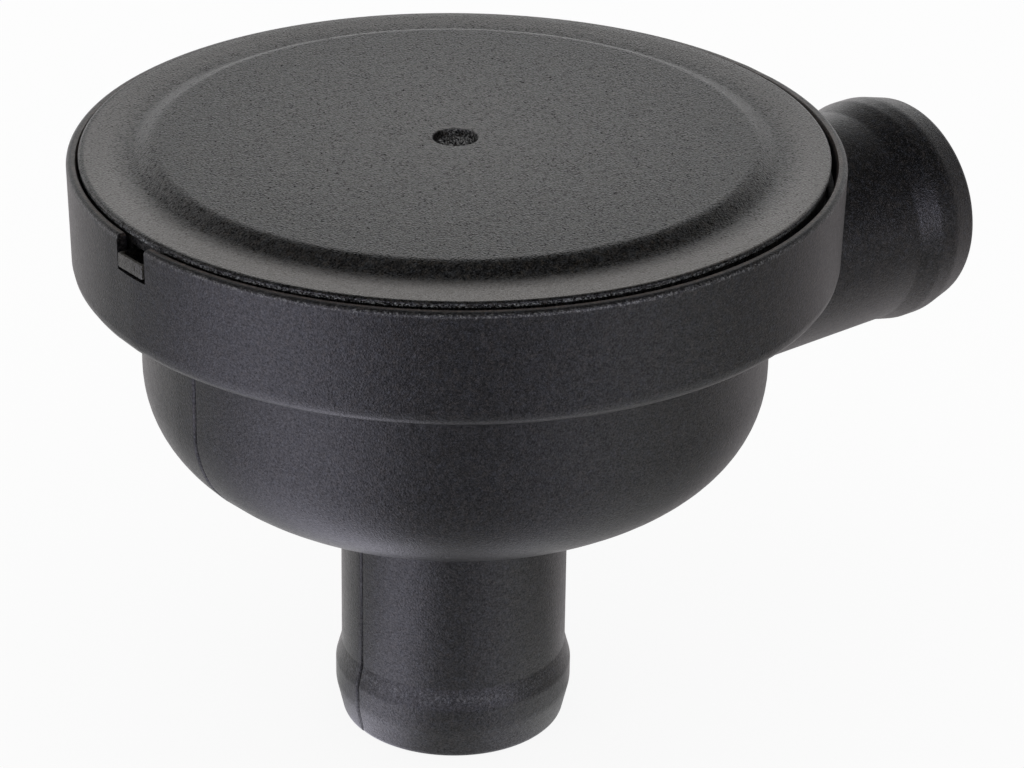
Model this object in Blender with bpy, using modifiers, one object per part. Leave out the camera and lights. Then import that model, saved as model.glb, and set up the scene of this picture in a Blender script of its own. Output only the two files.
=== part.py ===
"""Crankcase ventilation valve with a round housing, two hose spigots and a spring-loaded diaphragm.

The frame is in metres. The origin is the centre of the lower spigot's end face, +Z runs up the
valve's main axis towards the lid, and +X runs along the side spigot.
"""

import math

import bmesh
import bpy

# Smoothness of the turned shapes
HOUSING_STEPS = 60
SPIGOT_STEPS = 40
PLATE_STEPS = 40
SMALL_STEPS = 24
CURVE_POINTS = 6

# Clearances between neighbouring pieces
SEAT_GAP = 0.0003
SIDE_GAP = 0.0004

# Hose spigots: both take the same hose, and each widens a little towards its root
SPIGOT_SHANK_RADIUS = 0.0124
SPIGOT_WALL = 0.0021
SPIGOT_BEAD_RISE = 0.0006
SPIGOT_END_TAPER = 0.0007
SPIGOT_NOSE_LENGTH = 0.0047
SPIGOT_BEAD_CREST = 0.0058
BORE_CHAMFER = 0.0003
LOWER_SPIGOT_LENGTH = 0.02957
LOWER_BEAD_START = 0.0105
LOWER_ROOT_DRAFT = 0.0001
SIDE_SPIGOT_LENGTH = 0.02532
SIDE_BEAD_START = 0.0122
SIDE_ROOT_DRAFT = 0.0004
SIDE_AXIS_HEIGHT = 0.01462

# Bowl of the housing, with the standpipe that ends in the valve seat
BOWL_RADIUS = 0.03342
BOWL_WALL = 0.0020
BOWL_FLAT_WIDTH = 0.00233
BOWL_CORNER_HEIGHT = 0.0140
BOWL_STRAIGHT_HEIGHT = 0.01053
BOWL_FULLNESS = 2.18
STANDPIPE_WALL = 0.0021
SEAT_CHAMFER = 0.0009

# Collar of the housing, with the ledge under the diaphragm and the snap ridge over the lid's shoulder
COLLAR_OVERHANG = 0.00696
COLLAR_DRAFT = 0.00028
COLLAR_WALL = 0.0011
COLLAR_FOOT_FILLET = 0.0018
COLLAR_RIM_ROUND = 0.00045
LEDGE_THICKNESS = 0.0033
SHOULDER_HEIGHT = 0.0022
RIDGE_HEIGHT = 0.0011
RIDGE_DEPTH = 0.0009
RIM_ABOVE_RIDGE = 0.00308
SLOT_WIDTH = 0.00489
SLOT_DEPTH = 0.00356

# Lid
LID_EDGE_GAP = 0.00069
LID_PROUD = 0.00054
LID_EDGE_ROUND = 0.0007
LID_THICKNESS = 0.0018
ANNULUS_WIDTH = 0.00533
DISC_HEIGHT = 0.00093
DISC_SLOPE = 0.00193
DISC_DISH = 0.00028
RECESS_RADIUS = 0.00249
RECESS_DEPTH = 0.0009
SKIRT_THICKNESS = 0.0020
FLANGE_THICKNESS = 0.0012
STOP_RING_WIDTH = 0.0018
LUG_HEIGHT = 0.00147
LUG_FACE_INSET = 0.0001
VENT_WIDTH = 0.0024
VENT_HEIGHT = 0.0008

# Diaphragm
BEAD_INSET = 0.0029
BEAD_WIDTH = 0.0027
BEAD_HEIGHT = 0.0020
BEAD_CORNER = 0.0005
FOLD_WIDTH = 0.0098
MEMBRANE_THICKNESS = 0.0006
MEMBRANE_LIFT = 0.0040

# Moving plate: cup above the membrane, valve plate below it, and the clip that joins them
STROKE = 0.0050
CUP_THICKNESS = 0.0012
CUP_RIM_HEIGHT = 0.0012
CUP_RIM_WIDTH = 0.0012
STUD_RADIUS = 0.0025
STUD_TAIL = 0.0012
PLATE_THICKNESS = 0.0014
PLATE_MARGIN = 0.0020
SPRING_GUIDE_HEIGHT = 0.0020
SPRING_GUIDE_WALL = 0.0011
CLIP_WIDTH = 0.0020
CLIP_THICKNESS = 0.0008

# Spring and the washer under it
WIRE_RADIUS = 0.00065
SPRING_TURNS = 7.5
POINTS_PER_TURN = 14
WASHER_THICKNESS = 0.0008
WASHER_MARGIN = 0.0010

# Radii that follow from the sizes above
SPIGOT_BORE_RADIUS = SPIGOT_SHANK_RADIUS - SPIGOT_WALL
SPIGOT_BEAD_RADIUS = SPIGOT_SHANK_RADIUS + SPIGOT_BEAD_RISE
SPIGOT_END_RADIUS = SPIGOT_SHANK_RADIUS - SPIGOT_END_TAPER
LOWER_ROOT_RADIUS = SPIGOT_SHANK_RADIUS + LOWER_ROOT_DRAFT
SIDE_ROOT_RADIUS = SPIGOT_SHANK_RADIUS + SIDE_ROOT_DRAFT
BOWL_FLAT_RADIUS = LOWER_ROOT_RADIUS + BOWL_FLAT_WIDTH
BOWL_INNER_RADIUS = BOWL_RADIUS - BOWL_WALL
STANDPIPE_RADIUS = SPIGOT_BORE_RADIUS + STANDPIPE_WALL
COLLAR_FOOT_RADIUS = BOWL_RADIUS + COLLAR_OVERHANG
COLLAR_RIM_RADIUS = COLLAR_FOOT_RADIUS + COLLAR_DRAFT
COLLAR_INNER_RADIUS = COLLAR_RIM_RADIUS - COLLAR_WALL
RIDGE_INNER_RADIUS = COLLAR_INNER_RADIUS - RIDGE_DEPTH
SIDE_REACH = COLLAR_FOOT_RADIUS + SIDE_SPIGOT_LENGTH
LID_RADIUS = COLLAR_INNER_RADIUS - LID_EDGE_GAP
DISC_RADIUS = LID_RADIUS - ANNULUS_WIDTH - DISC_SLOPE
SHOULDER_RADIUS = COLLAR_INNER_RADIUS - SIDE_GAP
GROOVE_RADIUS = RIDGE_INNER_RADIUS - SIDE_GAP
BEAD_INNER_RADIUS = BOWL_INNER_RADIUS + BEAD_INSET
FLANGE_INNER_RADIUS = BEAD_INNER_RADIUS - SEAT_GAP
CUP_RADIUS = BEAD_INNER_RADIUS - FOLD_WIDTH
STUD_HOLE_RADIUS = STUD_RADIUS + SEAT_GAP
CLIP_RADIUS = STUD_HOLE_RADIUS + CLIP_WIDTH
GUIDE_INNER_RADIUS = STANDPIPE_RADIUS + 2 * SIDE_GAP
GUIDE_RADIUS = GUIDE_INNER_RADIUS + SPRING_GUIDE_WALL
SPRING_RADIUS = GUIDE_RADIUS + SIDE_GAP + WIRE_RADIUS
SPRING_OUTER_RADIUS = SPRING_RADIUS + WIRE_RADIUS
PLATE_RADIUS = SPRING_OUTER_RADIUS + PLATE_MARGIN
WASHER_INNER_RADIUS = STANDPIPE_RADIUS + 2 * SIDE_GAP
WASHER_RADIUS = SPRING_OUTER_RADIUS + WASHER_MARGIN

# Heights that follow from the sizes above, from the lower spigot's end up
BOWL_FLOOR_Z = LOWER_SPIGOT_LENGTH
SIDE_AXIS_Z = BOWL_FLOOR_Z + SIDE_AXIS_HEIGHT
CHAMBER_FLOOR_Z = BOWL_FLOOR_Z + BOWL_WALL
WASHER_Z = CHAMBER_FLOOR_Z + SEAT_GAP
SPRING_FOOT_Z = WASHER_Z + WASHER_THICKNESS + SEAT_GAP
COLLAR_UNDERSIDE_Z = BOWL_FLOOR_Z + BOWL_CORNER_HEIGHT + BOWL_STRAIGHT_HEIGHT
LEDGE_Z = COLLAR_UNDERSIDE_Z + LEDGE_THICKNESS
BEAD_FLOOR_Z = LEDGE_Z + SEAT_GAP
BEAD_TOP_Z = BEAD_FLOOR_Z + BEAD_HEIGHT
FLANGE_Z = BEAD_TOP_Z + SEAT_GAP
SHOULDER_TOP_Z = FLANGE_Z + SHOULDER_HEIGHT
RIDGE_Z = SHOULDER_TOP_Z + SEAT_GAP
GROOVE_TOP_Z = RIDGE_Z + RIDGE_HEIGHT + SEAT_GAP
RIM_Z = RIDGE_Z + RIDGE_HEIGHT + RIM_ABOVE_RIDGE
SLOT_FLOOR_Z = RIM_Z - SLOT_DEPTH
LUG_Z = SLOT_FLOOR_Z + SEAT_GAP
LUG_WIDTH = SLOT_WIDTH - 2 * SEAT_GAP
LID_TOP_Z = RIM_Z + LID_PROUD
MEMBRANE_Z = BEAD_FLOOR_Z + MEMBRANE_LIFT
CUP_Z = MEMBRANE_Z + MEMBRANE_THICKNESS + SEAT_GAP
CUP_RIM_Z = CUP_Z + CUP_THICKNESS + CUP_RIM_HEIGHT
PLATE_TOP_Z = MEMBRANE_Z - SEAT_GAP
PLATE_UNDERSIDE_Z = PLATE_TOP_Z - PLATE_THICKNESS
SEAT_Z = PLATE_UNDERSIDE_Z - STROKE - SEAT_GAP
SPRING_HEAD_Z = PLATE_UNDERSIDE_Z - SEAT_GAP
CLIP_TOP_Z = PLATE_UNDERSIDE_Z - SEAT_GAP
CLIP_FOOT_Z = CLIP_TOP_Z - CLIP_THICKNESS
STUD_FOOT_Z = CLIP_FOOT_Z - STUD_TAIL

# How far a cutter runs past the wall that it cuts
OVERSHOOT = 0.004


def clear_scene():
    """Remove every object of the open scene."""
    for item in list(bpy.data.objects):
        bpy.data.objects.remove(item, do_unlink=True)


def make_collection(name, hidden=False):
    """Add a collection to the scene."""
    collection = bpy.data.collections.new(name)
    bpy.context.scene.collection.children.link(collection)
    collection.hide_render = hidden
    return collection


def make_material(name, colour, roughness, metallic=0.0):
    """Make a plain Principled BSDF material."""
    material = bpy.data.materials.new(name)
    material.use_nodes = True
    shader = material.node_tree.nodes["Principled BSDF"]
    shader.inputs["Base Color"].default_value = (*colour, 1.0)
    shader.inputs["Roughness"].default_value = roughness
    shader.inputs["Metallic"].default_value = metallic
    return material


def add_object(name, mesh, collection):
    """Put a mesh into a collection as an object of the same name."""
    item = bpy.data.objects.new(name, mesh)
    collection.objects.link(item)
    return item


def mark_as_cutter(item):
    """Show a helper shape as wires only, and keep it out of renders."""
    item.hide_render = True
    item.display_type = "WIRE"
    return item


def ellipse_arc(centre, radii, start_deg, end_deg, count=CURVE_POINTS):
    """Give points (radius, height) along an elliptical arc, both ends included."""
    points = []
    for index in range(count):
        angle = math.radians(start_deg + (end_deg - start_deg) * index / (count - 1))
        points.append((centre[0] + radii[0] * math.cos(angle), centre[1] + radii[1] * math.sin(angle)))
    return points


def eased_line(start, end, count=CURVE_POINTS):
    """Give points from start to end whose radius eases along a half cosine wave."""
    points = []
    for index in range(count):
        share = index / (count - 1)
        ease = 0.5 - 0.5 * math.cos(math.pi * share)
        points.append((start[0] + (end[0] - start[0]) * ease, start[1] + (end[1] - start[1]) * share))
    return points


def bowl_corner(radius, flat_radius, floor_z, height, count=10):
    """Give the bowl's corner from its straight wall down to its flat floor, as a full superellipse."""
    points = []
    for index in range(count):
        angle = math.pi / 2 * index / (count - 1)
        across = max(math.cos(angle), 0.0) ** (2 / BOWL_FULLNESS)
        down = math.sin(angle) ** (2 / BOWL_FULLNESS)
        points.append((flat_radius + (radius - flat_radius) * across, floor_z + height * (1 - down)))
    return points


def spigot_outside(root_radius, root_distance, bead_start):
    """Give a hose spigot's outside as (radius, distance from the end face), root first."""
    points = [(root_radius, root_distance)]
    points += eased_line((SPIGOT_SHANK_RADIUS, bead_start), (SPIGOT_BEAD_RADIUS, SPIGOT_BEAD_CREST))
    centre = (SPIGOT_END_RADIUS, SPIGOT_NOSE_LENGTH)
    radii = (SPIGOT_BEAD_RADIUS - SPIGOT_END_RADIUS, SPIGOT_NOSE_LENGTH)
    points += ellipse_arc(centre, radii, 0, -90)
    return points


def turned(name, outline, collection, steps, ring=True):
    """Turn an outline of (radius, height) points about Z; a ring's outline closes on itself."""
    mesh = bpy.data.meshes.new(name)
    count = len(outline)
    edges = [(index, index + 1) for index in range(count - 1)]
    if ring:
        edges.append((count - 1, 0))
    mesh.from_pydata([(radius, 0.0, height) for radius, height in outline], edges, [])
    item = add_object(name, mesh, collection)
    screw = item.modifiers.new("Turn", "SCREW")
    screw.axis = "Z"
    screw.steps = steps
    screw.render_steps = steps
    screw.use_merge_vertices = True
    screw.merge_threshold = 0.000001
    screw.use_smooth_shade = True
    return item


def block(name, low, high, collection):
    """Make a box between two corners."""
    mesh = bpy.data.meshes.new(name)
    form = bmesh.new()
    bmesh.ops.create_cube(form, size=1.0)
    for vertex in form.verts:
        for axis in range(3):
            middle = (low[axis] + high[axis]) / 2
            vertex.co[axis] = middle + vertex.co[axis] * (high[axis] - low[axis])
    form.to_mesh(mesh)
    form.free()
    return add_object(name, mesh, collection)


def combine(item, tool, operation):
    """Join a tool to an object or cut it out of the object."""
    boolean = item.modifiers.new(tool.name, "BOOLEAN")
    boolean.operation = operation
    boolean.solver = "EXACT"
    boolean.object = tool
    mark_as_cutter(tool)


def finish(item, material):
    """Give an object its material."""
    item.data.materials.append(material)
    return item


def housing_outside():
    """Give the housing's outside from the top of its axis down to the lower spigot's end."""
    points = [(0.0, RIM_Z)]
    rim_centre = (COLLAR_RIM_RADIUS - COLLAR_RIM_ROUND, RIM_Z - COLLAR_RIM_ROUND)
    points += ellipse_arc(rim_centre, (COLLAR_RIM_ROUND, COLLAR_RIM_ROUND), 90, 0, 4)
    fillet_centre = (COLLAR_FOOT_RADIUS - COLLAR_FOOT_FILLET, COLLAR_UNDERSIDE_Z + COLLAR_FOOT_FILLET)
    points += ellipse_arc(fillet_centre, (COLLAR_FOOT_FILLET, COLLAR_FOOT_FILLET), 0, -90)
    points.append((BOWL_RADIUS, COLLAR_UNDERSIDE_Z))
    points += bowl_corner(BOWL_RADIUS, BOWL_FLAT_RADIUS, BOWL_FLOOR_Z, BOWL_CORNER_HEIGHT)
    points += spigot_outside(LOWER_ROOT_RADIUS, BOWL_FLOOR_Z, LOWER_BEAD_START)
    points.append((0.0, 0.0))
    return points


def chamber_outline():
    """Give the hollow above the valve seat and around the standpipe, with the lid's snap ridge."""
    ridge_foot = (RIDGE_HEIGHT - RIDGE_DEPTH / 2) / 2
    points = [(0.0, RIM_Z + OVERSHOOT), (COLLAR_INNER_RADIUS, RIM_Z + OVERSHOOT)]
    points.append((COLLAR_INNER_RADIUS, RIDGE_Z + RIDGE_HEIGHT))
    points.append((RIDGE_INNER_RADIUS, RIDGE_Z + RIDGE_HEIGHT - ridge_foot))
    points.append((RIDGE_INNER_RADIUS, RIDGE_Z + ridge_foot))
    points.append((COLLAR_INNER_RADIUS, RIDGE_Z))
    points.append((COLLAR_INNER_RADIUS, LEDGE_Z))
    points.append((BOWL_INNER_RADIUS, LEDGE_Z))
    points += bowl_corner(BOWL_INNER_RADIUS, BOWL_FLAT_RADIUS, CHAMBER_FLOOR_Z, BOWL_CORNER_HEIGHT)
    points.append((STANDPIPE_RADIUS, CHAMBER_FLOOR_Z))
    points.append((STANDPIPE_RADIUS, SEAT_Z - SEAT_CHAMFER))
    points.append((STANDPIPE_RADIUS - SEAT_CHAMFER, SEAT_Z))
    points.append((0.0, SEAT_Z))
    return points


def bore_outline(length):
    """Give a spigot's bore as (radius, distance from the end face), with a chamfered mouth."""
    mouth = SPIGOT_BORE_RADIUS + BORE_CHAMFER
    return [
        (0.0, length),
        (SPIGOT_BORE_RADIUS, length),
        (SPIGOT_BORE_RADIUS, BORE_CHAMFER),
        (mouth, 0.0),
        (mouth, -OVERSHOOT),
        (0.0, -OVERSHOOT),
    ]


def point_along_x(item):
    """Lay a spigot shape that was turned from its end face up, with that end face at the side's end."""
    item.location = (SIDE_REACH, 0.0, SIDE_AXIS_Z)
    item.rotation_euler = (0.0, -math.pi / 2, 0.0)


def build_valve_body(parts, cutters, material):
    """Build the moulded housing: bowl, collar, both spigots and the standpipe inside."""
    body = turned("valve_body", housing_outside(), parts, HOUSING_STEPS, ring=False)

    side_length = SIDE_REACH - BOWL_FLAT_RADIUS
    side_outline = [(0.0, side_length)] + spigot_outside(SIDE_ROOT_RADIUS, side_length, SIDE_BEAD_START)
    side_outline.append((0.0, 0.0))
    side_spigot = turned("side_spigot_form", side_outline, cutters, SPIGOT_STEPS, ring=False)
    point_along_x(side_spigot)
    combine(body, side_spigot, "UNION")

    chamber = turned("chamber_cutter", chamber_outline(), cutters, HOUSING_STEPS, ring=False)
    combine(body, chamber, "DIFFERENCE")

    lower_outline = bore_outline(SEAT_Z + OVERSHOOT)
    lower_bore = turned("lower_bore_cutter", lower_outline, cutters, SPIGOT_STEPS, ring=False)
    combine(body, lower_bore, "DIFFERENCE")

    bore_length = SIDE_REACH - SPRING_OUTER_RADIUS
    side_bore = turned("side_bore_cutter", bore_outline(bore_length), cutters, SPIGOT_STEPS, ring=False)
    point_along_x(side_bore)
    combine(body, side_bore, "DIFFERENCE")

    slot_low = (-COLLAR_RIM_RADIUS - OVERSHOOT, -SLOT_WIDTH / 2, SLOT_FLOOR_Z)
    slot_high = (-COLLAR_INNER_RADIUS + OVERSHOOT, SLOT_WIDTH / 2, RIM_Z + OVERSHOOT)
    combine(body, block("slot_cutter", slot_low, slot_high, cutters), "DIFFERENCE")
    return finish(body, material)


def lid_outline():
    """Give the lid from the foot of its centre recess out, down the skirt and back under the plate."""
    disc_top = LID_TOP_Z + DISC_HEIGHT
    centre_top = disc_top - DISC_DISH
    recess_z = centre_top - RECESS_DEPTH
    underside = LID_TOP_Z - LID_THICKNESS
    disc_underside = disc_top - LID_THICKNESS
    skirt_inner = GROOVE_RADIUS - SKIRT_THICKNESS
    edge_centre = (LID_RADIUS - LID_EDGE_ROUND, LID_TOP_Z - LID_EDGE_ROUND)
    stop_outer = CUP_RADIUS
    stop_inner = stop_outer - STOP_RING_WIDTH
    points = [(0.0, recess_z), (RECESS_RADIUS, recess_z), (RECESS_RADIUS, centre_top)]
    points.append((DISC_RADIUS / 2, disc_top - DISC_DISH / 4))
    points.append((DISC_RADIUS, disc_top))
    points.append((DISC_RADIUS + DISC_SLOPE, LID_TOP_Z))
    points += ellipse_arc(edge_centre, (LID_EDGE_ROUND, LID_EDGE_ROUND), 90, 0, 4)
    points.append((LID_RADIUS, GROOVE_TOP_Z))
    points.append((GROOVE_RADIUS, GROOVE_TOP_Z))
    points.append((GROOVE_RADIUS, SHOULDER_TOP_Z))
    points.append((SHOULDER_RADIUS, SHOULDER_TOP_Z))
    points.append((SHOULDER_RADIUS, FLANGE_Z))
    points.append((FLANGE_INNER_RADIUS, FLANGE_Z))
    points.append((FLANGE_INNER_RADIUS, FLANGE_Z + FLANGE_THICKNESS))
    points.append((skirt_inner, FLANGE_Z + FLANGE_THICKNESS))
    points.append((skirt_inner, underside))
    points.append((DISC_RADIUS, underside))
    points.append((DISC_RADIUS - DISC_SLOPE, disc_underside))
    points.append((stop_outer, disc_underside))
    points.append((stop_outer, CUP_RIM_Z + SEAT_GAP))
    points.append((stop_inner, CUP_RIM_Z + SEAT_GAP))
    points.append((stop_inner, disc_underside))
    points.append((0.0, disc_underside))
    return points


def build_lid(parts, cutters, material):
    """Build the snap-in lid with its index lug and the vent that lets air above the diaphragm."""
    lid = turned("lid", lid_outline(), parts, HOUSING_STEPS, ring=False)
    lug_low = (-COLLAR_RIM_RADIUS + LUG_FACE_INSET, -LUG_WIDTH / 2, LUG_Z)
    lug_high = (-GROOVE_RADIUS + SKIRT_THICKNESS / 2, LUG_WIDTH / 2, LUG_Z + LUG_HEIGHT)
    combine(lid, block("lug_form", lug_low, lug_high, cutters), "UNION")
    vent_low = (-COLLAR_RIM_RADIUS - OVERSHOOT, -VENT_WIDTH / 2, RIDGE_Z)
    vent_high = (-GROOVE_RADIUS + SKIRT_THICKNESS + OVERSHOOT / 2, VENT_WIDTH / 2, RIDGE_Z + VENT_HEIGHT)
    combine(lid, block("vent_cutter", vent_low, vent_high, cutters), "DIFFERENCE")
    return finish(lid, material)


def build_diaphragm(parts, material):
    """Build the rubber diaphragm: clamped outer bead, sloping fold and flat centre."""
    bead_outer = BEAD_INNER_RADIUS + BEAD_WIDTH
    web_z = BEAD_FLOOR_Z + (BEAD_HEIGHT - MEMBRANE_THICKNESS) / 2
    fold = [(radius, height) for height, radius in
            eased_line((MEMBRANE_Z, CUP_RADIUS), (web_z, BEAD_INNER_RADIUS), 8)]
    points = [(STUD_HOLE_RADIUS, MEMBRANE_Z + MEMBRANE_THICKNESS)]
    points += [(radius, height + MEMBRANE_THICKNESS) for radius, height in fold]
    points.append((BEAD_INNER_RADIUS, BEAD_TOP_Z - BEAD_CORNER))
    points.append((BEAD_INNER_RADIUS + BEAD_CORNER, BEAD_TOP_Z))
    points.append((bead_outer - BEAD_CORNER, BEAD_TOP_Z))
    points.append((bead_outer, BEAD_TOP_Z - BEAD_CORNER))
    points.append((bead_outer, BEAD_FLOOR_Z))
    points.append((BEAD_INNER_RADIUS, BEAD_FLOOR_Z))
    points += [(radius, height) for radius, height in reversed(fold)]
    points.append((STUD_HOLE_RADIUS, MEMBRANE_Z))
    return finish(turned("diaphragm", points, parts, PLATE_STEPS), material)


def build_diaphragm_cup(parts, material):
    """Build the stiffening cup above the membrane, with the stud that carries the valve plate."""
    inner = CUP_RADIUS - CUP_RIM_WIDTH
    floor_top = CUP_Z + CUP_THICKNESS
    points = [(0.0, floor_top), (inner - CUP_RIM_WIDTH / 2, floor_top)]
    points.append((inner, floor_top + CUP_RIM_WIDTH / 2))
    points.append((inner, CUP_RIM_Z))
    points.append((CUP_RADIUS - CUP_RIM_WIDTH / 4, CUP_RIM_Z))
    points.append((CUP_RADIUS, CUP_RIM_Z - CUP_RIM_WIDTH / 4))
    points += ellipse_arc((CUP_RADIUS - CUP_RIM_WIDTH / 2, CUP_Z + CUP_RIM_WIDTH / 2),
                          (CUP_RIM_WIDTH / 2, CUP_RIM_WIDTH / 2), 0, -90, 4)
    points.append((STUD_RADIUS, CUP_Z))
    points.append((STUD_RADIUS, STUD_FOOT_Z + STUD_RADIUS / 4))
    points.append((STUD_RADIUS * 3 / 4, STUD_FOOT_Z))
    points.append((0.0, STUD_FOOT_Z))
    return finish(turned("diaphragm_cup", points, parts, PLATE_STEPS, ring=False), material)


def build_valve_plate(parts, material):
    """Build the plate that closes the seat and rests on the spring."""
    guide_foot = PLATE_UNDERSIDE_Z - SPRING_GUIDE_HEIGHT
    points = [(STUD_HOLE_RADIUS, PLATE_TOP_Z), (PLATE_RADIUS, PLATE_TOP_Z)]
    points.append((PLATE_RADIUS, PLATE_UNDERSIDE_Z))
    points.append((GUIDE_RADIUS, PLATE_UNDERSIDE_Z))
    points.append((GUIDE_RADIUS, guide_foot))
    points.append((GUIDE_INNER_RADIUS, guide_foot))
    points.append((GUIDE_INNER_RADIUS, PLATE_UNDERSIDE_Z))
    points.append((STUD_HOLE_RADIUS, PLATE_UNDERSIDE_Z))
    return finish(turned("valve_plate", points, parts, PLATE_STEPS), material)


def build_plate_clip(parts, material):
    """Build the push-on clip that holds the cup's stud under the valve plate."""
    points = [(STUD_HOLE_RADIUS, CLIP_TOP_Z), (CLIP_RADIUS, CLIP_TOP_Z)]
    points += [(CLIP_RADIUS, CLIP_FOOT_Z), (STUD_HOLE_RADIUS, CLIP_FOOT_Z)]
    return finish(turned("plate_clip", points, parts, SMALL_STEPS), material)


def spring_point(share):
    """Give the wire's centre at a share of its length, with a flat coil at each end."""
    angle = 2 * math.pi * SPRING_TURNS * share
    low = SPRING_FOOT_Z + WIRE_RADIUS
    high = SPRING_HEAD_Z - WIRE_RADIUS
    flat = 1 / SPRING_TURNS
    closed_pitch = 2 * WIRE_RADIUS + SEAT_GAP
    rise = high - low - 2 * closed_pitch
    if share < flat:
        height = low + closed_pitch * share / flat
    elif share > 1 - flat:
        height = high - closed_pitch * (1 - share) / flat
    else:
        height = low + closed_pitch + rise * (share - flat) / (1 - 2 * flat)
    return (SPRING_RADIUS * math.cos(angle), SPRING_RADIUS * math.sin(angle), height)


def build_regulating_spring(parts, material):
    """Build the compression spring around the standpipe as a wire along a helix."""
    count = round(SPRING_TURNS * POINTS_PER_TURN) + 1
    curve = bpy.data.curves.new("regulating_spring", "CURVE")
    curve.dimensions = "3D"
    curve.bevel_depth = WIRE_RADIUS
    curve.bevel_resolution = 2
    curve.use_fill_caps = True
    wire = curve.splines.new("POLY")
    wire.points.add(count - 1)
    for index, point in enumerate(wire.points):
        point.co = (*spring_point(index / (count - 1)), 1.0)
    spring = bpy.data.objects.new("regulating_spring", curve)
    parts.objects.link(spring)
    return finish(spring, material)


def build_spring_washer(parts, material):
    """Build the flat washer that the spring stands on."""
    top = WASHER_Z + WASHER_THICKNESS
    points = [(WASHER_INNER_RADIUS, top), (WASHER_RADIUS, top)]
    points += [(WASHER_RADIUS, WASHER_Z), (WASHER_INNER_RADIUS, WASHER_Z)]
    return finish(turned("spring_washer", points, parts, PLATE_STEPS), material)


def main():
    """Build the whole valve."""
    clear_scene()
    parts = make_collection("crankcase_ventilation_valve")
    cutters = make_collection("cutters", hidden=True)
    charcoal = make_material("moulded_polyamide", (0.022, 0.022, 0.024), 0.55)
    lid_black = make_material("lid_polyamide", (0.030, 0.029, 0.029), 0.60)
    rubber = make_material("diaphragm_rubber", (0.012, 0.012, 0.012), 0.75)
    cup_black = make_material("cup_polyamide", (0.025, 0.025, 0.026), 0.50)
    plate_natural = make_material("plate_acetal", (0.62, 0.60, 0.54), 0.45)
    clip_steel = make_material("clip_spring_steel", (0.42, 0.42, 0.43), 0.35, 1.0)
    spring_steel = make_material("spring_steel_wire", (0.50, 0.50, 0.50), 0.30, 1.0)
    washer_steel = make_material("washer_zinc_steel", (0.55, 0.55, 0.56), 0.40, 1.0)
    build_valve_body(parts, cutters, charcoal)
    build_lid(parts, cutters, lid_black)
    build_diaphragm(parts, rubber)
    build_diaphragm_cup(parts, cup_black)
    build_valve_plate(parts, plate_natural)
    build_plate_clip(parts, clip_steel)
    build_regulating_spring(parts, spring_steel)
    build_spring_washer(parts, washer_steel)


main()
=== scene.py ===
"""Looks of the crankcase ventilation valve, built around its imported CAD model.

Every size below is in millimetres unless its name says otherwise, in the CAD's own frame: the origin
is the centre of the lower spigot's end face, +Z runs up the main axis to the lid and +X runs along
the side spigot. Meshes are worked out in millimetres and turned to metres as they are made.
"""

import logging
import math
from dataclasses import dataclass, field
from enum import Enum

import bpy
import numpy as np
from mathutils import Matrix

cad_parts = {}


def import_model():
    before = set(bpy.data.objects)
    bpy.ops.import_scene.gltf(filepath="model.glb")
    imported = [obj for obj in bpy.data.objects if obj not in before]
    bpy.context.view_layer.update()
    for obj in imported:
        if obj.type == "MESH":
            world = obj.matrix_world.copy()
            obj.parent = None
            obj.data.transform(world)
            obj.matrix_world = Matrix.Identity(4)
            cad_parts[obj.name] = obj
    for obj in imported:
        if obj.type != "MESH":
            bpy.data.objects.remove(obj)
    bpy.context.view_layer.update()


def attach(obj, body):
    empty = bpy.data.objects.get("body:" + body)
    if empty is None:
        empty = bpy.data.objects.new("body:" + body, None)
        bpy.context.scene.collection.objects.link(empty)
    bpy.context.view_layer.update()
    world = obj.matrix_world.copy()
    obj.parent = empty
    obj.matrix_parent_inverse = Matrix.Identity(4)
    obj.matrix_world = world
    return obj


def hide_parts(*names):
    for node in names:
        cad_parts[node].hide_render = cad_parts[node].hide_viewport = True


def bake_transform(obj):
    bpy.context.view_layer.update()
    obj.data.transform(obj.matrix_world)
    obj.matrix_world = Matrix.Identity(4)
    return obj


LOG = logging.getLogger("ventilation_valve")
METRES = 0.001
IMAGE_WIDTH_PX = 1024
SENSOR_WIDTH = 36.0
SAME_POINT = 1e-5
NO_LENGTH = 1e-9
NO_ANGLE = 1e-6
STEEPEST_TURN = 3.0
CUT_SHARE = 0.49
HOLD_SHARE = 0.4

Grid = np.ndarray
Socket = bpy.types.NodeSocket


class Carrier(Enum):
    """The CAD bodies that carry the pieces."""

    HOUSING = "housing"
    PLATE = "plate"


class Join(Enum):
    """What a Boolean does with its tool."""

    ADD = "UNION"
    CUT = "DIFFERENCE"


# Outlines


def plain(points: Grid) -> Grid:
    """Give rows (radius, height) a third column of zeros, so that no corner in them is rounded."""
    return np.column_stack([points, np.zeros(len(points))])


def eased(start: tuple, end: tuple, count: int) -> Grid:
    """Sample a line whose first coordinate eases along half a cosine wave while the second runs evenly.

    Args:
        start: first point.
        end: last point.
        count: number of points, both ends included.

    Returns:
        Rows of two coordinates.
    """
    share = np.linspace(0.0, 1.0, count)
    ease = 0.5 - 0.5 * np.cos(np.pi * share)
    return np.column_stack([start[0] + (end[0] - start[0]) * ease, start[1] + (end[1] - start[1]) * share])


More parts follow.
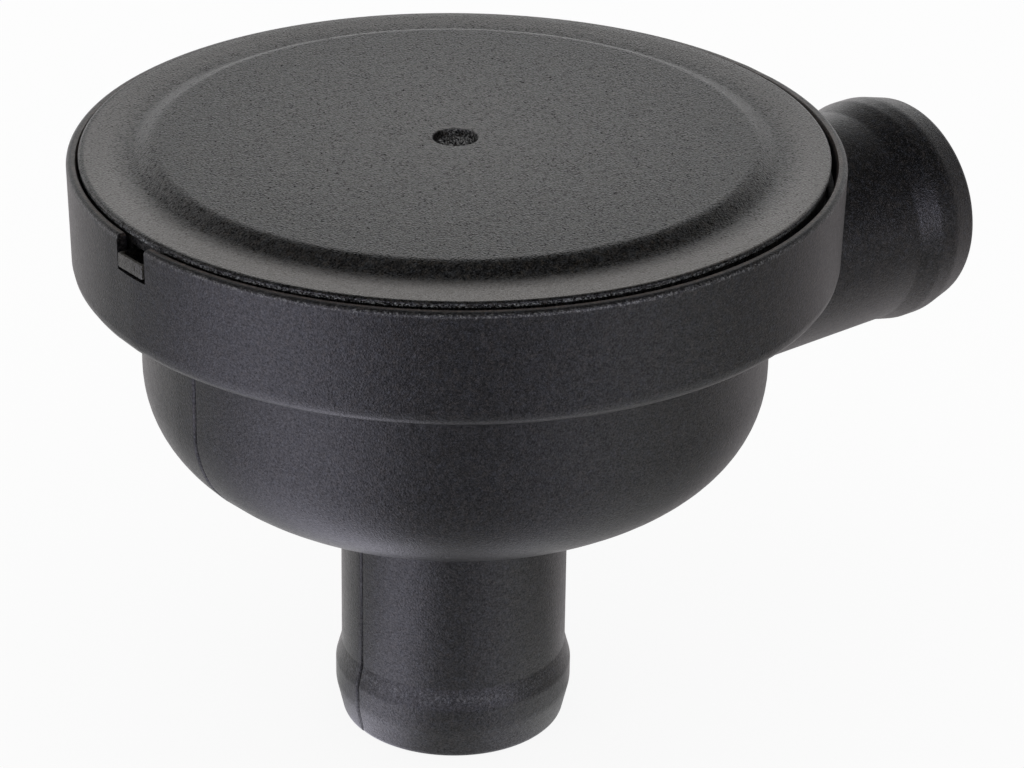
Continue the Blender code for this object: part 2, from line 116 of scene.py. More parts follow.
def rounded(corners: Grid, closed: bool, steps: int = 5, hold: float = 0.12) -> Grid:
    """Round the corners of an outline.

    Formula: a corner with fillet f that turns by angle t is cut back by f tan(t / 2) along both of its
    sides, and the arc between the cuts is swept about the fillet's centre. One point more on each side,
    a little further back, holds the flat beside the round flat.

    Args:
        corners: rows (radius, height, fillet).
        closed: whether the last corner joins the first.
        steps: points along each arc.
        hold: distance of the holding points from the arc.

    Returns:
        Rows (radius, height), with no point twice in a row.
    """
    place, fillet = corners[:, :2], corners[:, 2].copy()
    before, after = np.roll(place, 1, 0) - place, np.roll(place, -1, 0) - place
    if not closed:
        fillet[[0, -1]] = 0.0
    reach_before = np.maximum(np.linalg.norm(before, axis=1), NO_LENGTH)
    reach_after = np.maximum(np.linalg.norm(after, axis=1), NO_LENGTH)
    before, after = before / reach_before[:, None], after / reach_after[:, None]
    turn = np.pi - np.arccos(np.clip(np.sum(before * after, axis=1), -1.0, 1.0))
    half = np.clip(turn, 0, STEEPEST_TURN) / 2
    cut = np.minimum(fillet * np.tan(half), CUT_SHARE * np.minimum(reach_before, reach_after))
    fillet = np.where(cut > 0, cut / np.tan(np.maximum(half, NO_ANGLE / 2)), 0.0)
    middle = before + after
    middle /= np.maximum(np.linalg.norm(middle, axis=1), NO_LENGTH)[:, None]
    centre = place + middle * (fillet / np.maximum(np.cos(turn / 2), NO_ANGLE))[:, None]
    first, last = place + before * cut[:, None], place + after * cut[:, None]
    share = np.linspace(0.0, 1.0, steps)[None, :, None]
    sweep = np.maximum(turn, NO_ANGLE)[:, None, None]
    from_first = np.sin((1 - share) * sweep) * (first - centre)[:, None]
    from_last = np.sin(share * sweep) * (last - centre)[:, None]
    curve = centre[:, None] + (from_first + from_last) / np.sin(np.clip(sweep, NO_ANGLE, np.pi - NO_ANGLE))
    spare_before, spare_after = HOLD_SHARE * (reach_before - cut), HOLD_SHARE * (reach_after - cut)
    held = np.where(cut > 0, hold, 0.0)
    lead = first + before * np.minimum(held, spare_before)[:, None]
    tail = last + after * np.minimum(held, spare_after)[:, None]
    curve = np.concatenate([lead[:, None], curve, tail[:, None]], axis=1).reshape(-1, 2)
    gap = np.linalg.norm(curve - np.roll(curve, 1, 0), axis=1)
    keep = gap > SAME_POINT
    keep[0] = keep[0] or not closed
    return curve[keep]


# Surfaces


@dataclass
class Surface:
    """A mesh in the making: points in millimetres and faces that name them."""

    points: list = field(default_factory=list)
    faces: list = field(default_factory=list)
    count: int = 0

    def add_points(self, points: Grid) -> int:
        """Add points.

        Args:
            points: in any grid shape, with x, y and z last.

        Returns:
            The number of the first.
        """
        first = self.count
        self.points.append(points.reshape(-1, 3))
        self.count += len(self.points[-1])
        return first

    def add_grid(self, grid: Grid, wrap_rows: bool) -> int:
        """Add a grid of points, whose last column joins the first, and the quads between them.

        Faces look outwards when the rows run down the outside and the columns run anticlockwise seen
        from above.

        Args:
            grid: points, shaped rows x columns x 3.
            wrap_rows: whether the last row joins the first.

        Returns:
            The number of the grid's first point.
        """
        first = self.add_points(grid)
        rows, columns = grid.shape[:2]
        name = first + np.arange(rows * columns).reshape(rows, columns)
        down = np.roll(name, -1, 0) if wrap_rows else name[1:]
        here = name if wrap_rows else name[:-1]
        quads = np.stack([here, down, np.roll(down, -1, 1), np.roll(here, -1, 1)], axis=-1)
        self.faces += quads.reshape(-1, 4).tolist()
        return first

    def close_with_pole(self, ring_first: int, columns: int, pole: tuple, at_start: bool) -> None:
        """Close a ring of points with a fan to one pole.

        Args:
            ring_first: number of the ring's first point.
            columns: points in the ring.
            pole: the pole's place.
            at_start: whether the pole lies before the first row rather than after the last.
        """
        top = self.add_points(np.array([pole], float))
        ring = ring_first + np.arange(columns)
        after = np.roll(ring, -1)
        fan = np.stack([np.full(columns, top), ring, after] if at_start else
                       [ring, np.full(columns, top), after], axis=-1)
        self.faces += fan.tolist()

    def mesh(self, name: str) -> bpy.types.Mesh:
        """Make the Blender mesh, in metres.

        Args:
            name: the mesh's name.

        Returns:
            The mesh.
        """
        mesh = bpy.data.meshes.new(name)
        mesh.from_pydata((np.concatenate(self.points) * METRES).tolist(), [], self.faces)
        mesh.validate()
        return mesh


def polar(radius: Grid, angle: Grid, height: Grid) -> Grid:
    """Give the points (radius cos angle, radius sin angle, height)."""
    radius, angle, height = np.broadcast_arrays(radius, angle, height)
    return np.stack([radius * np.cos(angle), radius * np.sin(angle), height], axis=-1)


def even_angles(columns: int) -> Grid:
    """Give angles evenly round a full turn, in radians."""
    return np.arange(columns) * (2 * np.pi / columns)


def turned_ring(outline: Grid, columns: int) -> Surface:
    """Turn a closed outline about Z: each row (r, z) becomes the circle (r cos a, r sin a, z).

    Args:
        outline: rows (radius, height), down the outside first.
        columns: points round each circle.

    Returns:
        The closed ring.
    """
    surface = Surface()
    surface.add_grid(polar(outline[:, :1], even_angles(columns)[None], outline[:, 1:2]), wrap_rows=True)
    return surface


def turned_solid(outline: Grid, columns: int) -> Surface:
    """Turn an outline that starts and ends on the axis about Z, with a pole at each end.

    Args:
        outline: rows (radius, height), from the top to the bottom.
        columns: points round each circle.

    Returns:
        The closed solid.
    """
    inner = outline[1:-1]
    grid = polar(inner[:, :1], even_angles(columns)[None], inner[:, 1:2])
    return closed_grid(grid, (0.0, 0.0, outline[0, 1]), (0.0, 0.0, outline[-1, 1]))


def closed_grid(grid: Grid, first_pole: tuple, last_pole: tuple) -> Surface:
    """Give a grid whose first and last rings are closed by fans to two poles.

    Args:
        grid: points, shaped rows x columns x 3, whose last column joins the first.
        first_pole: the pole before the first row.
        last_pole: the pole after the last row.

    Returns:
        The closed solid.
    """
    surface = Surface()
    rows, columns = grid.shape[:2]
    first = surface.add_grid(grid, wrap_rows=False)
    surface.close_with_pole(first, columns, first_pole, at_start=True)
    surface.close_with_pole(first + (rows - 1) * columns, columns, last_pole, at_start=False)
    return surface


def box_surface(low: tuple, high: tuple) -> Surface:
    """Give the box between two corners, as six quads that look outwards.

    Args:
        low: the corner with the least x, y and z.
        high: the corner with the most.

    Returns:
        The box.
    """
    low_x, low_y, low_z = low
    high_x, high_y, high_z = high
    surface = Surface()
    surface.add_points(np.array([
        (low_x, low_y, low_z), (high_x, low_y, low_z), (high_x, high_y, low_z), (low_x, high_y, low_z),
        (low_x, low_y, high_z), (high_x, low_y, high_z), (high_x, high_y, high_z), (low_x, high_y, high_z)]))
    surface.faces += [[0, 3, 2, 1], [4, 5, 6, 7], [0, 1, 5, 4], [1, 2, 6, 5], [2, 3, 7, 6], [3, 0, 4, 7]]
    return surface


# Objects


def add_object(name: str, surface: Surface) -> bpy.types.Object:
    """Put a surface into the scene as an object at the origin.

    Args:
        name: the object's and the mesh's name.
        surface: the shape.

    Returns:
        The object.
    """
    item = bpy.data.objects.new(name, surface.mesh(name))
    bpy.context.scene.collection.objects.link(item)
    return item


def applied(item: bpy.types.Object) -> bpy.types.Object:
    """Replace an object's mesh by the mesh its modifiers give, and remove the modifiers.

    Args:
        item: the object that is worked on.

    Returns:
        The same object.
    """
    graph = bpy.context.evaluated_depsgraph_get()
    mesh = bpy.data.meshes.new_from_object(item.evaluated_get(graph), depsgraph=graph)
    item.modifiers.clear()
    item.data = mesh
    return item


def combine(item: bpy.types.Object, tools: list[tuple[bpy.types.Object, Join]]) -> bpy.types.Object:
    """Join tools to an object or cut them out of it, one after another, and remove the tools.

    Args:
        item: the object that is worked on.
        tools: each tool with what it does.

    Returns:
        The same object with its new mesh.
    """
    for tool, join in tools:
        boolean = item.modifiers.new(tool.name, "BOOLEAN")
        boolean.operation = join.value
        boolean.solver = "MANIFOLD"
        boolean.object = tool
    applied(item)
    for tool, _ in tools:
        bpy.data.objects.remove(tool, do_unlink=True)
    return item


def bevelled(item: bpy.types.Object, width: float, segments: int = 2) -> bpy.types.Object:
    """Round every edge of an object.

    Args:
        item: the object that is worked on.
        width: of the rounding, in millimetres.
        segments: faces across it.

    Returns:
        The same object.
    """
    bevel = item.modifiers.new("edge_round", "BEVEL")
    bevel.width = width * METRES
    bevel.segments = segments
    bevel.limit_method = "ANGLE"
    return applied(item)


def smooth(item: bpy.types.Object, sharp_deg: float = 34.0) -> None:
    """Shade an object smoothly, but keep edges sharper than an angle crisp."""
    item.data.polygons.foreach_set("use_smooth", np.ones(len(item.data.polygons), bool))
    item.data.set_sharp_from_angle(angle=math.radians(sharp_deg))


def stand_in(item: bpy.types.Object, node: str, material: bpy.types.Material) -> None:
    """Dress a piece, and let it stand for its CAD node.

    Args:
        item: the finished piece.
        node: the CAD node that it replaces.
        material: its finish.
    """
    item.data.materials.clear()
    item.data.materials.append(material)
    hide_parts(node)
    LOG.info("%s stands for %s: %d faces, %s", item.name, node, len(item.data.polygons), material.name)


# Materials


def linear(hex_colour: str) -> tuple[float, float, float, float]:
    """Turn an sRGB hex colour such as "1b1c1e" to a linear colour."""
    channels = [int(hex_colour[index:index + 2], 16) / 255 for index in (0, 2, 4)]
    return (*[c / 12.92 if c <= 0.04045 else ((c + 0.055) / 1.055) ** 2.4 for c in channels], 1.0)


def per_metre(size: float) -> float:
    """Give the texture scale whose features are a size in millimetres across."""
    return 1000.0 / size


def add_node(tree: bpy.types.NodeTree, kind: str, settings: dict | None = None,
             links: dict | None = None, output: str | int = 0) -> Socket | None:
    """Add a shader node with its settings and its links.

    Args:
        tree: the node tree.
        kind: the node's type name, without the ShaderNode that each begins with.
        settings: the node's own settings, values of its inputs by name or number, or under the name
            stops those of its colour ramp, each (place, (red, green, blue)).
        links: for an input's name or number, the output that feeds it.
        output: the name or number of the output that is wanted.

    Returns:
        That output, or None for a node without outputs.
    """
    node = tree.nodes.new("ShaderNode" + kind)
    for key, value in (settings or {}).items():
        if key == "stops":
            elements = node.color_ramp.elements
            for index, (place, colour) in enumerate(value):
                element = elements[index] if index < 2 else elements.new(place)
                element.position = place
                element.color = (*colour, 1.0)
        elif isinstance(key, str) and hasattr(node, key):
            setattr(node, key, value)
        else:
            node.inputs[key].default_value = value
    for key, source in (links or {}).items():
        tree.links.new(source, node.inputs[key])
    return node.outputs[output] if len(node.outputs) else None


def new_material(name: str) -> tuple[bpy.types.Material, bpy.types.NodeTree]:
    """Make an empty node material.

    Args:
        name: the material's name.

    Returns:
        The material and its node tree.
    """
    material = bpy.data.materials.new(name)
    material.use_nodes = True
    material.node_tree.nodes.clear()
    return material, material.node_tree


@dataclass(frozen=True)
class WearAndHighlightBand:
    """A paler ring of a turned surface, smoother or rougher than the rest: rubbed wear, painted highlights
    and glints, and in some bands both.

    It lies between two radii and two heights, and each of its edges is eased over a soft width. Noise
    breaks it up, and it may fade from full on its bright side to a far share opposite.
    """

    inner: float
    outer: float
    low: float
    high: float
    shade: str
    amount: float
    soft_inner: float = 0.1
    soft_outer: float = 0.1
    soft_height: float = 0.1
    breaks: float = 0.0
    break_size: float = 0.35
    break_range: tuple = (0.5, 0.64)
    roughness_change: float = 0.0
    # A band that fades round the axis is full on this side, where its painted light falls
    bright_side: tuple = (0.0, 0.0, 0.0)
    far_share: float = 1.0
    far_reach: float = 0.4

    def mask(self, tree: bpy.types.NodeTree, place: Socket) -> Socket:
        """Give 1 inside the band and 0 outside: the product of its edges, its fade and its breaks.

        Args:
            tree: the node tree.
            place: object coordinates.

        Returns:
            The mask.
        """
        height = add_node(tree, "SeparateXYZ", None, {0: place}, "Z")
        flat = add_node(tree, "VectorMath", {"operation": "MULTIPLY", 1: (1.0, 1.0, 0.0)}, {0: place})
        radius = add_node(tree, "VectorMath", {"operation": "LENGTH"}, {0: flat}, "Value")
        shares = []
        for value, edge, soft, rises in ((radius, self.inner, self.soft_inner, True),
                                         (radius, self.outer, self.soft_outer, False),
                                         (height, self.low, self.soft_height, True),
                                         (height, self.high, self.soft_height, False)):
            start, end = (edge - soft / 2) * METRES, (edge + soft / 2) * METRES
            ends = {1: start, 2: end, 3: float(not rises), 4: float(rises)}
            shares.append(add_node(tree, "MapRange", ends, {0: value}))
        if self.far_share < 1.0:
            towards = add_node(tree, "VectorMath", {"operation": "DOT_PRODUCT", 1: self.bright_side},
                               {0: place}, "Value")
            ends = {1: -self.far_reach * self.outer * METRES, 2: self.outer * METRES, 3: self.far_share}
            shares.append(add_node(tree, "MapRange", ends, {0: towards}))
        if self.breaks:
            patches = add_node(tree, "TexNoise", {"Scale": per_metre(self.break_size), "Roughness": 0.7},
                               {"Vector": place})
            ends = {1: self.break_range[0], 2: self.break_range[1], 3: 1.0 - self.breaks}
            shares.append(add_node(tree, "MapRange", ends, {0: patches}))
        mask = shares[0]
        for share in shares[1:]:
            mask = add_node(tree, "Math", {"operation": "MULTIPLY"}, {0: mask, 1: share})
        return mask


@dataclass(frozen=True)
class Finish:
    """What the finishes share: a name, and a pattern that sits in the piece's own coordinates."""

    name: str

    def shader(self, tree: bpy.types.NodeTree, place: Socket) -> Socket:
        """Give the shader. Each kind of finish has its own."""
        raise NotImplementedError

    def build(self) -> bpy.types.Material:
        """Make the material from the finish's shader.

        Returns:
            The material.
        """
        material, tree = new_material(self.name)
        place = add_node(tree, "TexCoord", output="Object")
        add_node(tree, "OutputMaterial", None, {"Surface": self.shader(tree, place)})
        return material


@dataclass(frozen=True)
class MouldedPolyamide(Finish):
    """Glass-fibre-filled polyamide, injection moulded in a spark-eroded tool.

    The eroded tool leaves craters about a fifth of a millimetre wide and 50 to 90 micrometres deep,
    which break every reflection into a fine even grain. The real ones are finer: they are drawn as
    coarse as they need to be to show at nine pixels to the millimetre. Each catches a little more or
    less light than the next, which the speckle in the specular level gives. Fibres near the skin show
    as pale specks, and the pigment leans here to brown and there to blue.
    """

    shade: str
    fleck: str
    roughness: float = 0.4
    roughness_spread: float = 0.04
    index_of_refraction: float = 1.58
    grain: float = 0.19
    grain_depth: float = 0.1
    fleck_size: float = 0.16
    fleck_range: tuple = (0.53, 0.66)
    mottle_size: float = 0.75
    mottle: float = 0.8
    wave_size: float = 1.0
    wave: float = 0.3
    speckle: float = 0.23
    speckle_size: float = 0.24
    speckle_mottle: float = 0.05
    lean_size: float = 0.6
    lean_range: tuple = (0.36, 0.64)
    warm: tuple = (1.18, 1.0, 0.83, 1.0)
    cool: tuple = (0.85, 0.98, 1.2, 1.0)
    # Bands of real wear and of painted highlights, glints and sheen
    wear_and_highlights: tuple = ()

    def relief(self, tree: bpy.types.NodeTree, place: Socket) -> Socket:
        """Give the normal: craters, on slow waves of the skin.

        Args:
            tree: the node tree.
            place: object coordinates.

        Returns:
            The bumped normal.
        """
        waves = add_node(tree, "TexNoise", {"Scale": per_metre(self.wave_size)}, {"Vector": place})
        craters = add_node(tree, "TexNoise",
                           {"Scale": per_metre(self.grain), "Detail": 1.0, "Roughness": 0.6},
                           {"Vector": place})
        height = add_node(tree, "Math", {"operation": "MULTIPLY_ADD", 1: self.wave}, {0: waves, 2: craters})
        return add_node(tree, "Bump", {"Strength": 1.0, "Distance": self.grain_depth * METRES},
                        {"Height": height})

    def shader(self, tree: bpy.types.NodeTree, place: Socket) -> Socket:
        """Give the shader: grain, speckle, specks, mottling, lean in colour, wear and painted highlights.

        Args:
            tree: the node tree.
            place: object coordinates.

        Returns:
            The shader.
        """
        fleck = add_node(tree, "TexNoise", {"Scale": per_metre(self.fleck_size), "Detail": 1.0},
                         {"Vector": place})
        fleck = add_node(tree, "MapRange", {1: self.fleck_range[0], 2: self.fleck_range[1]}, {0: fleck})
        mottle = add_node(tree, "TexNoise",
                          {"Scale": per_metre(self.mottle_size), "Detail": 3.0, "Roughness": 0.6},
                          {"Vector": place})
        mottle = add_node(tree, "MapRange", {1: 0.3, 2: 0.7, 3: -0.5, 4: 0.5}, {0: mottle})
        tone = add_node(tree, "Math", {"operation": "MULTIPLY_ADD", 1: self.mottle}, {0: mottle, 2: fleck})
        shades = {6: linear(self.shade), 7: linear(self.fleck)}
        colour = add_node(tree, "Mix", {"data_type": "RGBA", "clamp_factor": True} | shades, {0: tone}, 2)
        lean = add_node(tree, "TexNoise", {"Scale": per_metre(self.lean_size), "Detail": 1.0},
                        {"Vector": place})
        lean = add_node(tree, "MapRange", {1: self.lean_range[0], 2: self.lean_range[1]}, {0: lean})
        lean = add_node(tree, "Mix", {"data_type": "RGBA", 6: self.warm, 7: self.cool}, {0: lean}, 2)
        colour = add_node(tree, "Mix", {"data_type": "RGBA", "blend_type": "MULTIPLY", 0: 1.0},
                          {6: colour, 7: lean}, 2)
        low, high = self.roughness - self.roughness_spread, self.roughness + self.roughness_spread
        gloss = add_node(tree, "MapRange", {1: -0.5, 2: 0.5, 3: low, 4: high}, {0: mottle})
        for band in self.wear_and_highlights:
            mask = band.mask(tree, place)
            share = add_node(tree, "Math", {"operation": "MULTIPLY", 1: band.amount}, {0: mask})
            colour = add_node(tree, "Mix", {"data_type": "RGBA", 7: linear(band.shade)},
                              {0: share, 6: colour}, 2)
            gloss = add_node(tree, "Math", {"operation": "MULTIPLY_ADD", 1: band.roughness_change},
                             {0: mask, 2: gloss})
        sparkle = add_node(tree, "TexNoise", {"Scale": per_metre(self.speckle_size), "Roughness": 0.7},
                           {"Vector": place})
        levels = {1: 0.3, 2: 0.7, 3: 0.5 - self.speckle, 4: 0.5 + self.speckle}
        sparkle = add_node(tree, "MapRange", levels, {0: sparkle})
        sparkle = add_node(tree, "Math", {"operation": "MULTIPLY_ADD", 1: self.speckle_mottle},
                           {0: mottle, 2: sparkle})
        return add_node(tree, "BsdfPrincipled", {"IOR": self.index_of_refraction}, {
            "Base Color": colour, "Roughness": gloss, "Specular IOR Level": sparkle,
            "Normal": self.relief(tree, place)})


@dataclass(frozen=True)
class MouldedRubber(Finish):
    """Fluorosilicone rubber, compression moulded: dead matt over a fine grain, with a faint bloom."""

    name: str = "fluorosilicone_rubber"
    shade: str = "161616"
    bloom: str = "262524"
    roughness: float = 0.72
    bloom_size: float = 6.0
    grain: float = 0.15

    def shader(self, tree: bpy.types.NodeTree, place: Socket) -> Socket:
        """Give the shader: bloom as slow colour variation over a fine matt grain.

        Args:
            tree: the node tree.
            place: object coordinates.

        Returns:
            The shader.
        """
        bloom = add_node(tree, "TexNoise",
                         {"Scale": per_metre(self.bloom_size), "Detail": 4.0, "Roughness": 0.6},
                         {"Vector": place})
        bloom = add_node(tree, "MapRange", {1: 0.35, 2: 0.7}, {0: bloom})
        shades = {6: linear(self.shade), 7: linear(self.bloom)}
        colour = add_node(tree, "Mix", {"data_type": "RGBA"} | shades, {0: bloom}, 2)
        grain = add_node(tree, "TexNoise", {"Scale": per_metre(self.grain)}, {"Vector": place})
        normal = add_node(tree, "Bump", {"Strength": 0.6, "Distance": 0.01 * METRES}, {"Height": grain})
        return add_node(tree, "BsdfPrincipled", {"Roughness": self.roughness, "IOR": 1.41},
                        {"Base Color": colour, "Normal": normal})


@dataclass(frozen=True)
class NaturalAcetal(Finish):
    """Acetal without pigment, moulded smooth: milky, slightly waxy, with light going a little way in."""

    name: str = "natural_acetal"
    shade: str = "ddd8c8"
    shadow: str = "cfc9b6"
    roughness: float = 0.38
    roughness_spread: float = 0.06
    cloud_size: float = 5.0
    gloss_size: float = 1.2
    grain: float = 0.4

    def shader(self, tree: bpy.types.NodeTree, place: Socket) -> Socket:
        """Give the shader: cloudy colour and a soft moulded gloss.

        Args:
            tree: the node tree.
            place: object coordinates.

        Returns:
            The shader.
        """
        cloud = add_node(tree, "TexNoise", {"Scale": per_metre(self.cloud_size), "Detail": 3.0},
                         {"Vector": place})
        cloud = add_node(tree, "MapRange", {1: 0.3, 2: 0.7}, {0: cloud})
        shades = {6: linear(self.shadow), 7: linear(self.shade)}
        colour = add_node(tree, "Mix", {"data_type": "RGBA"} | shades, {0: cloud}, 2)
        gloss = add_node(tree, "TexNoise", {"Scale": per_metre(self.gloss_size)}, {"Vector": place})
        low, high = self.roughness - self.roughness_spread, self.roughness + self.roughness_spread
        gloss = add_node(tree, "MapRange", {1: 0.3, 2: 0.7, 3: low, 4: high}, {0: gloss})
        grain = add_node(tree, "TexNoise", {"Scale": per_metre(self.grain)}, {"Vector": place})
        normal = add_node(tree, "Bump", {"Strength": 0.4, "Distance": 0.01 * METRES}, {"Height": grain})
        depth = {"Subsurface Weight": 0.15, "Subsurface Scale": 0.0008}
        return add_node(tree, "BsdfPrincipled", {"IOR": 1.48} | depth,
                        {"Base Color": colour, "Roughness": gloss, "Normal": normal})


@dataclass(frozen=True)
class WorkedSteel(Finish):
    """Steel with a fine directional or crystalline finish, as drawn wire, stamped strip or zinc plate.

    Drawing and stamping leave scratches along the work, so a highlight runs across them in a streak.
    """

    shade: str
    dark: str
    roughness: float
    stretch: tuple = (1.0, 1.0, 1.0)
    mark_size: float = 0.3

    def shader(self, tree: bpy.types.NodeTree, place: Socket) -> Socket:
        """Give the shader: marks stretched along the working direction, in gloss, colour and bump.

        Args:
            tree: the node tree.
            place: object coordinates.

        Returns:
            The shader.
        """
        along = add_node(tree, "Mapping", {"Scale": self.stretch}, {"Vector": place})
        mark = add_node(tree, "TexNoise",
                        {"Scale": per_metre(self.mark_size), "Detail": 3.0, "Roughness": 0.6},
                        {"Vector": along})
        share = add_node(tree, "MapRange", {1: 0.3, 2: 0.6}, {0: mark})
        shades = {6: linear(self.dark), 7: linear(self.shade)}
        colour = add_node(tree, "Mix", {"data_type": "RGBA"} | shades, {0: share}, 2)
        levels = {1: 0.3, 2: 0.7, 3: self.roughness + 0.1, 4: self.roughness - 0.08}
        gloss = add_node(tree, "MapRange", levels, {0: mark})
        normal = add_node(tree, "Bump", {"Strength": 0.5, "Distance": 0.006 * METRES}, {"Height": mark})
        return add_node(tree, "BsdfPrincipled", {"Metallic": 1.0},
                        {"Base Color": colour, "Roughness": gloss, "Normal": normal})


# Towards the camera, where the lid's painted sheen is strongest
TOWARDS_CAMERA = (-0.628, -0.778, 0.0)
# Towards the front left, where the painted highlight on the lower spigot's ramp lies
TOWARDS_RAMP_HIGHLIGHT = (-0.9, -0.43, 0.0)
# Pale bands on the body: painted highlights and glints, partly scuffs
BODY_HIGHLIGHTS_AND_WEAR = (
    # The rim's outer edge: pale specks, partly scuffs and partly painted glints on its rounding
    WearAndHighlightBand(40.4, 41.0, 66.18, 66.55, "8c8c8e", 0.4, soft_height=0.16, breaks=0.95, break_size=0.25),
    # The rim's top at its inner edge: a painted warm highlight, broken into specks
    WearAndHighlightBand(39.5, 40.1, 66.3, 66.8, "7d6c62", 0.3, breaks=0.7),
    # A painted highlight on the ramp up to the lower spigot's bead, on its front left side only
    WearAndHighlightBand(12.3, 13.3, 7.0, 8.3, "9c9ca2", 0.22, soft_height=0.7, breaks=1.0, break_size=0.3,
             bright_side=TOWARDS_RAMP_HIGHLIGHT, far_share=0.0),
)
# Pale bands on the lid: painted sheen and glints, a little polish, and paler tones
LID_HIGHLIGHTS_AND_WEAR = (
    # The ring's crown round the disc: polished a little smoother, with a painted sheen, most towards the
    # camera
    WearAndHighlightBand(35.0, 38.8, 67.05, 67.6, "8a8683", 0.46, soft_inner=2.8, soft_outer=0.2, roughness_change=-0.04,
             bright_side=TOWARDS_CAMERA, far_share=0.35),
    # The disc's middle, a little paler
    WearAndHighlightBand(-9.0, 15.0, 67.9, 68.4, "5a5856", 0.2, soft_outer=24.0),
    # The lid's edge: painted glints, broken into pale specks like chips
    WearAndHighlightBand(38.7, 39.6, 66.6, 66.95, "a4a7aa", 0.55, breaks=1.0, break_size=0.25),
    # Painted glints on the broken gate's rough stub, pale specks over the recess
    WearAndHighlightBand(-1.0, 2.5, 66.8, 68.0, "b8b8b8", 0.42, breaks=1.0, break_size=0.24),
    # The lug's face
    WearAndHighlightBand(40.0, 40.8, 63.2, 65.0, "66645f", 0.3),
)
BODY_FINISH = MouldedPolyamide("charcoal_glass_filled_polyamide", "040405", "29282b", roughness=0.37,
                               grain_depth=0.052, mottle=0.6, wear_and_highlights=BODY_HIGHLIGHTS_AND_WEAR)
LID_FINISH = MouldedPolyamide("black_glass_filled_polyamide", "040404", "2c2b29", roughness=0.34, grain=0.21,
                              grain_depth=0.085, speckle=0.55, speckle_mottle=0.32, wear_and_highlights=LID_HIGHLIGHTS_AND_WEAR)
CUP_FINISH = MouldedPolyamide("black_polyamide", "1a1a1b", "2c2c2e", roughness=0.42, grain=0.3,
                              grain_depth=0.02)
WIRE_FINISH = WorkedSteel("drawn_spring_wire", "b9b9b7", "8d8c88", 0.3, (1.0, 1.0, 3.0), 0.25)
CLIP_FINISH = WorkedSteel("stamped_spring_steel", "a7a7a6", "7c7b79", 0.35, (1.0, 4.0, 1.0), 0.3)
WASHER_FINISH = WorkedSteel("zinc_plated_steel", "c3c5c8", "9b9ea3", 0.36, (1.0, 1.0, 1.0), 0.5)


# Valve body


@dataclass
class Spigot:
    """Outside of a hose spigot: the shank's end, a ramp up to the bead, the bead and its tapered nose."""

    shank_radius: float = 12.38
    bead_start: float = 8.63
    bead_radius: float = 13.03
    bead_top: float = 6.24
    bead_foot: float = 3.76
    end_radius: float = 12.16
    start_round: float = 0.5
    top_round: float = 1.6
    foot_round: float = 4.0
    end_round: float = 0.75
    bore_radius: float = 10.3
    mouth_chamfer: float = 0.3

    def outside(self) -> Grid:
        """Give corners (radius, distance from the end face, fillet) from the ramp's foot to the end face.

        Returns:
            Rows (radius, height).
        """
        return np.array([
            (self.shank_radius, self.bead_start, self.start_round),
            (self.bead_radius, self.bead_top, self.top_round),
            (self.bead_radius, self.bead_foot, self.foot_round),
            (self.end_radius, 0.0, self.end_round),
        ])


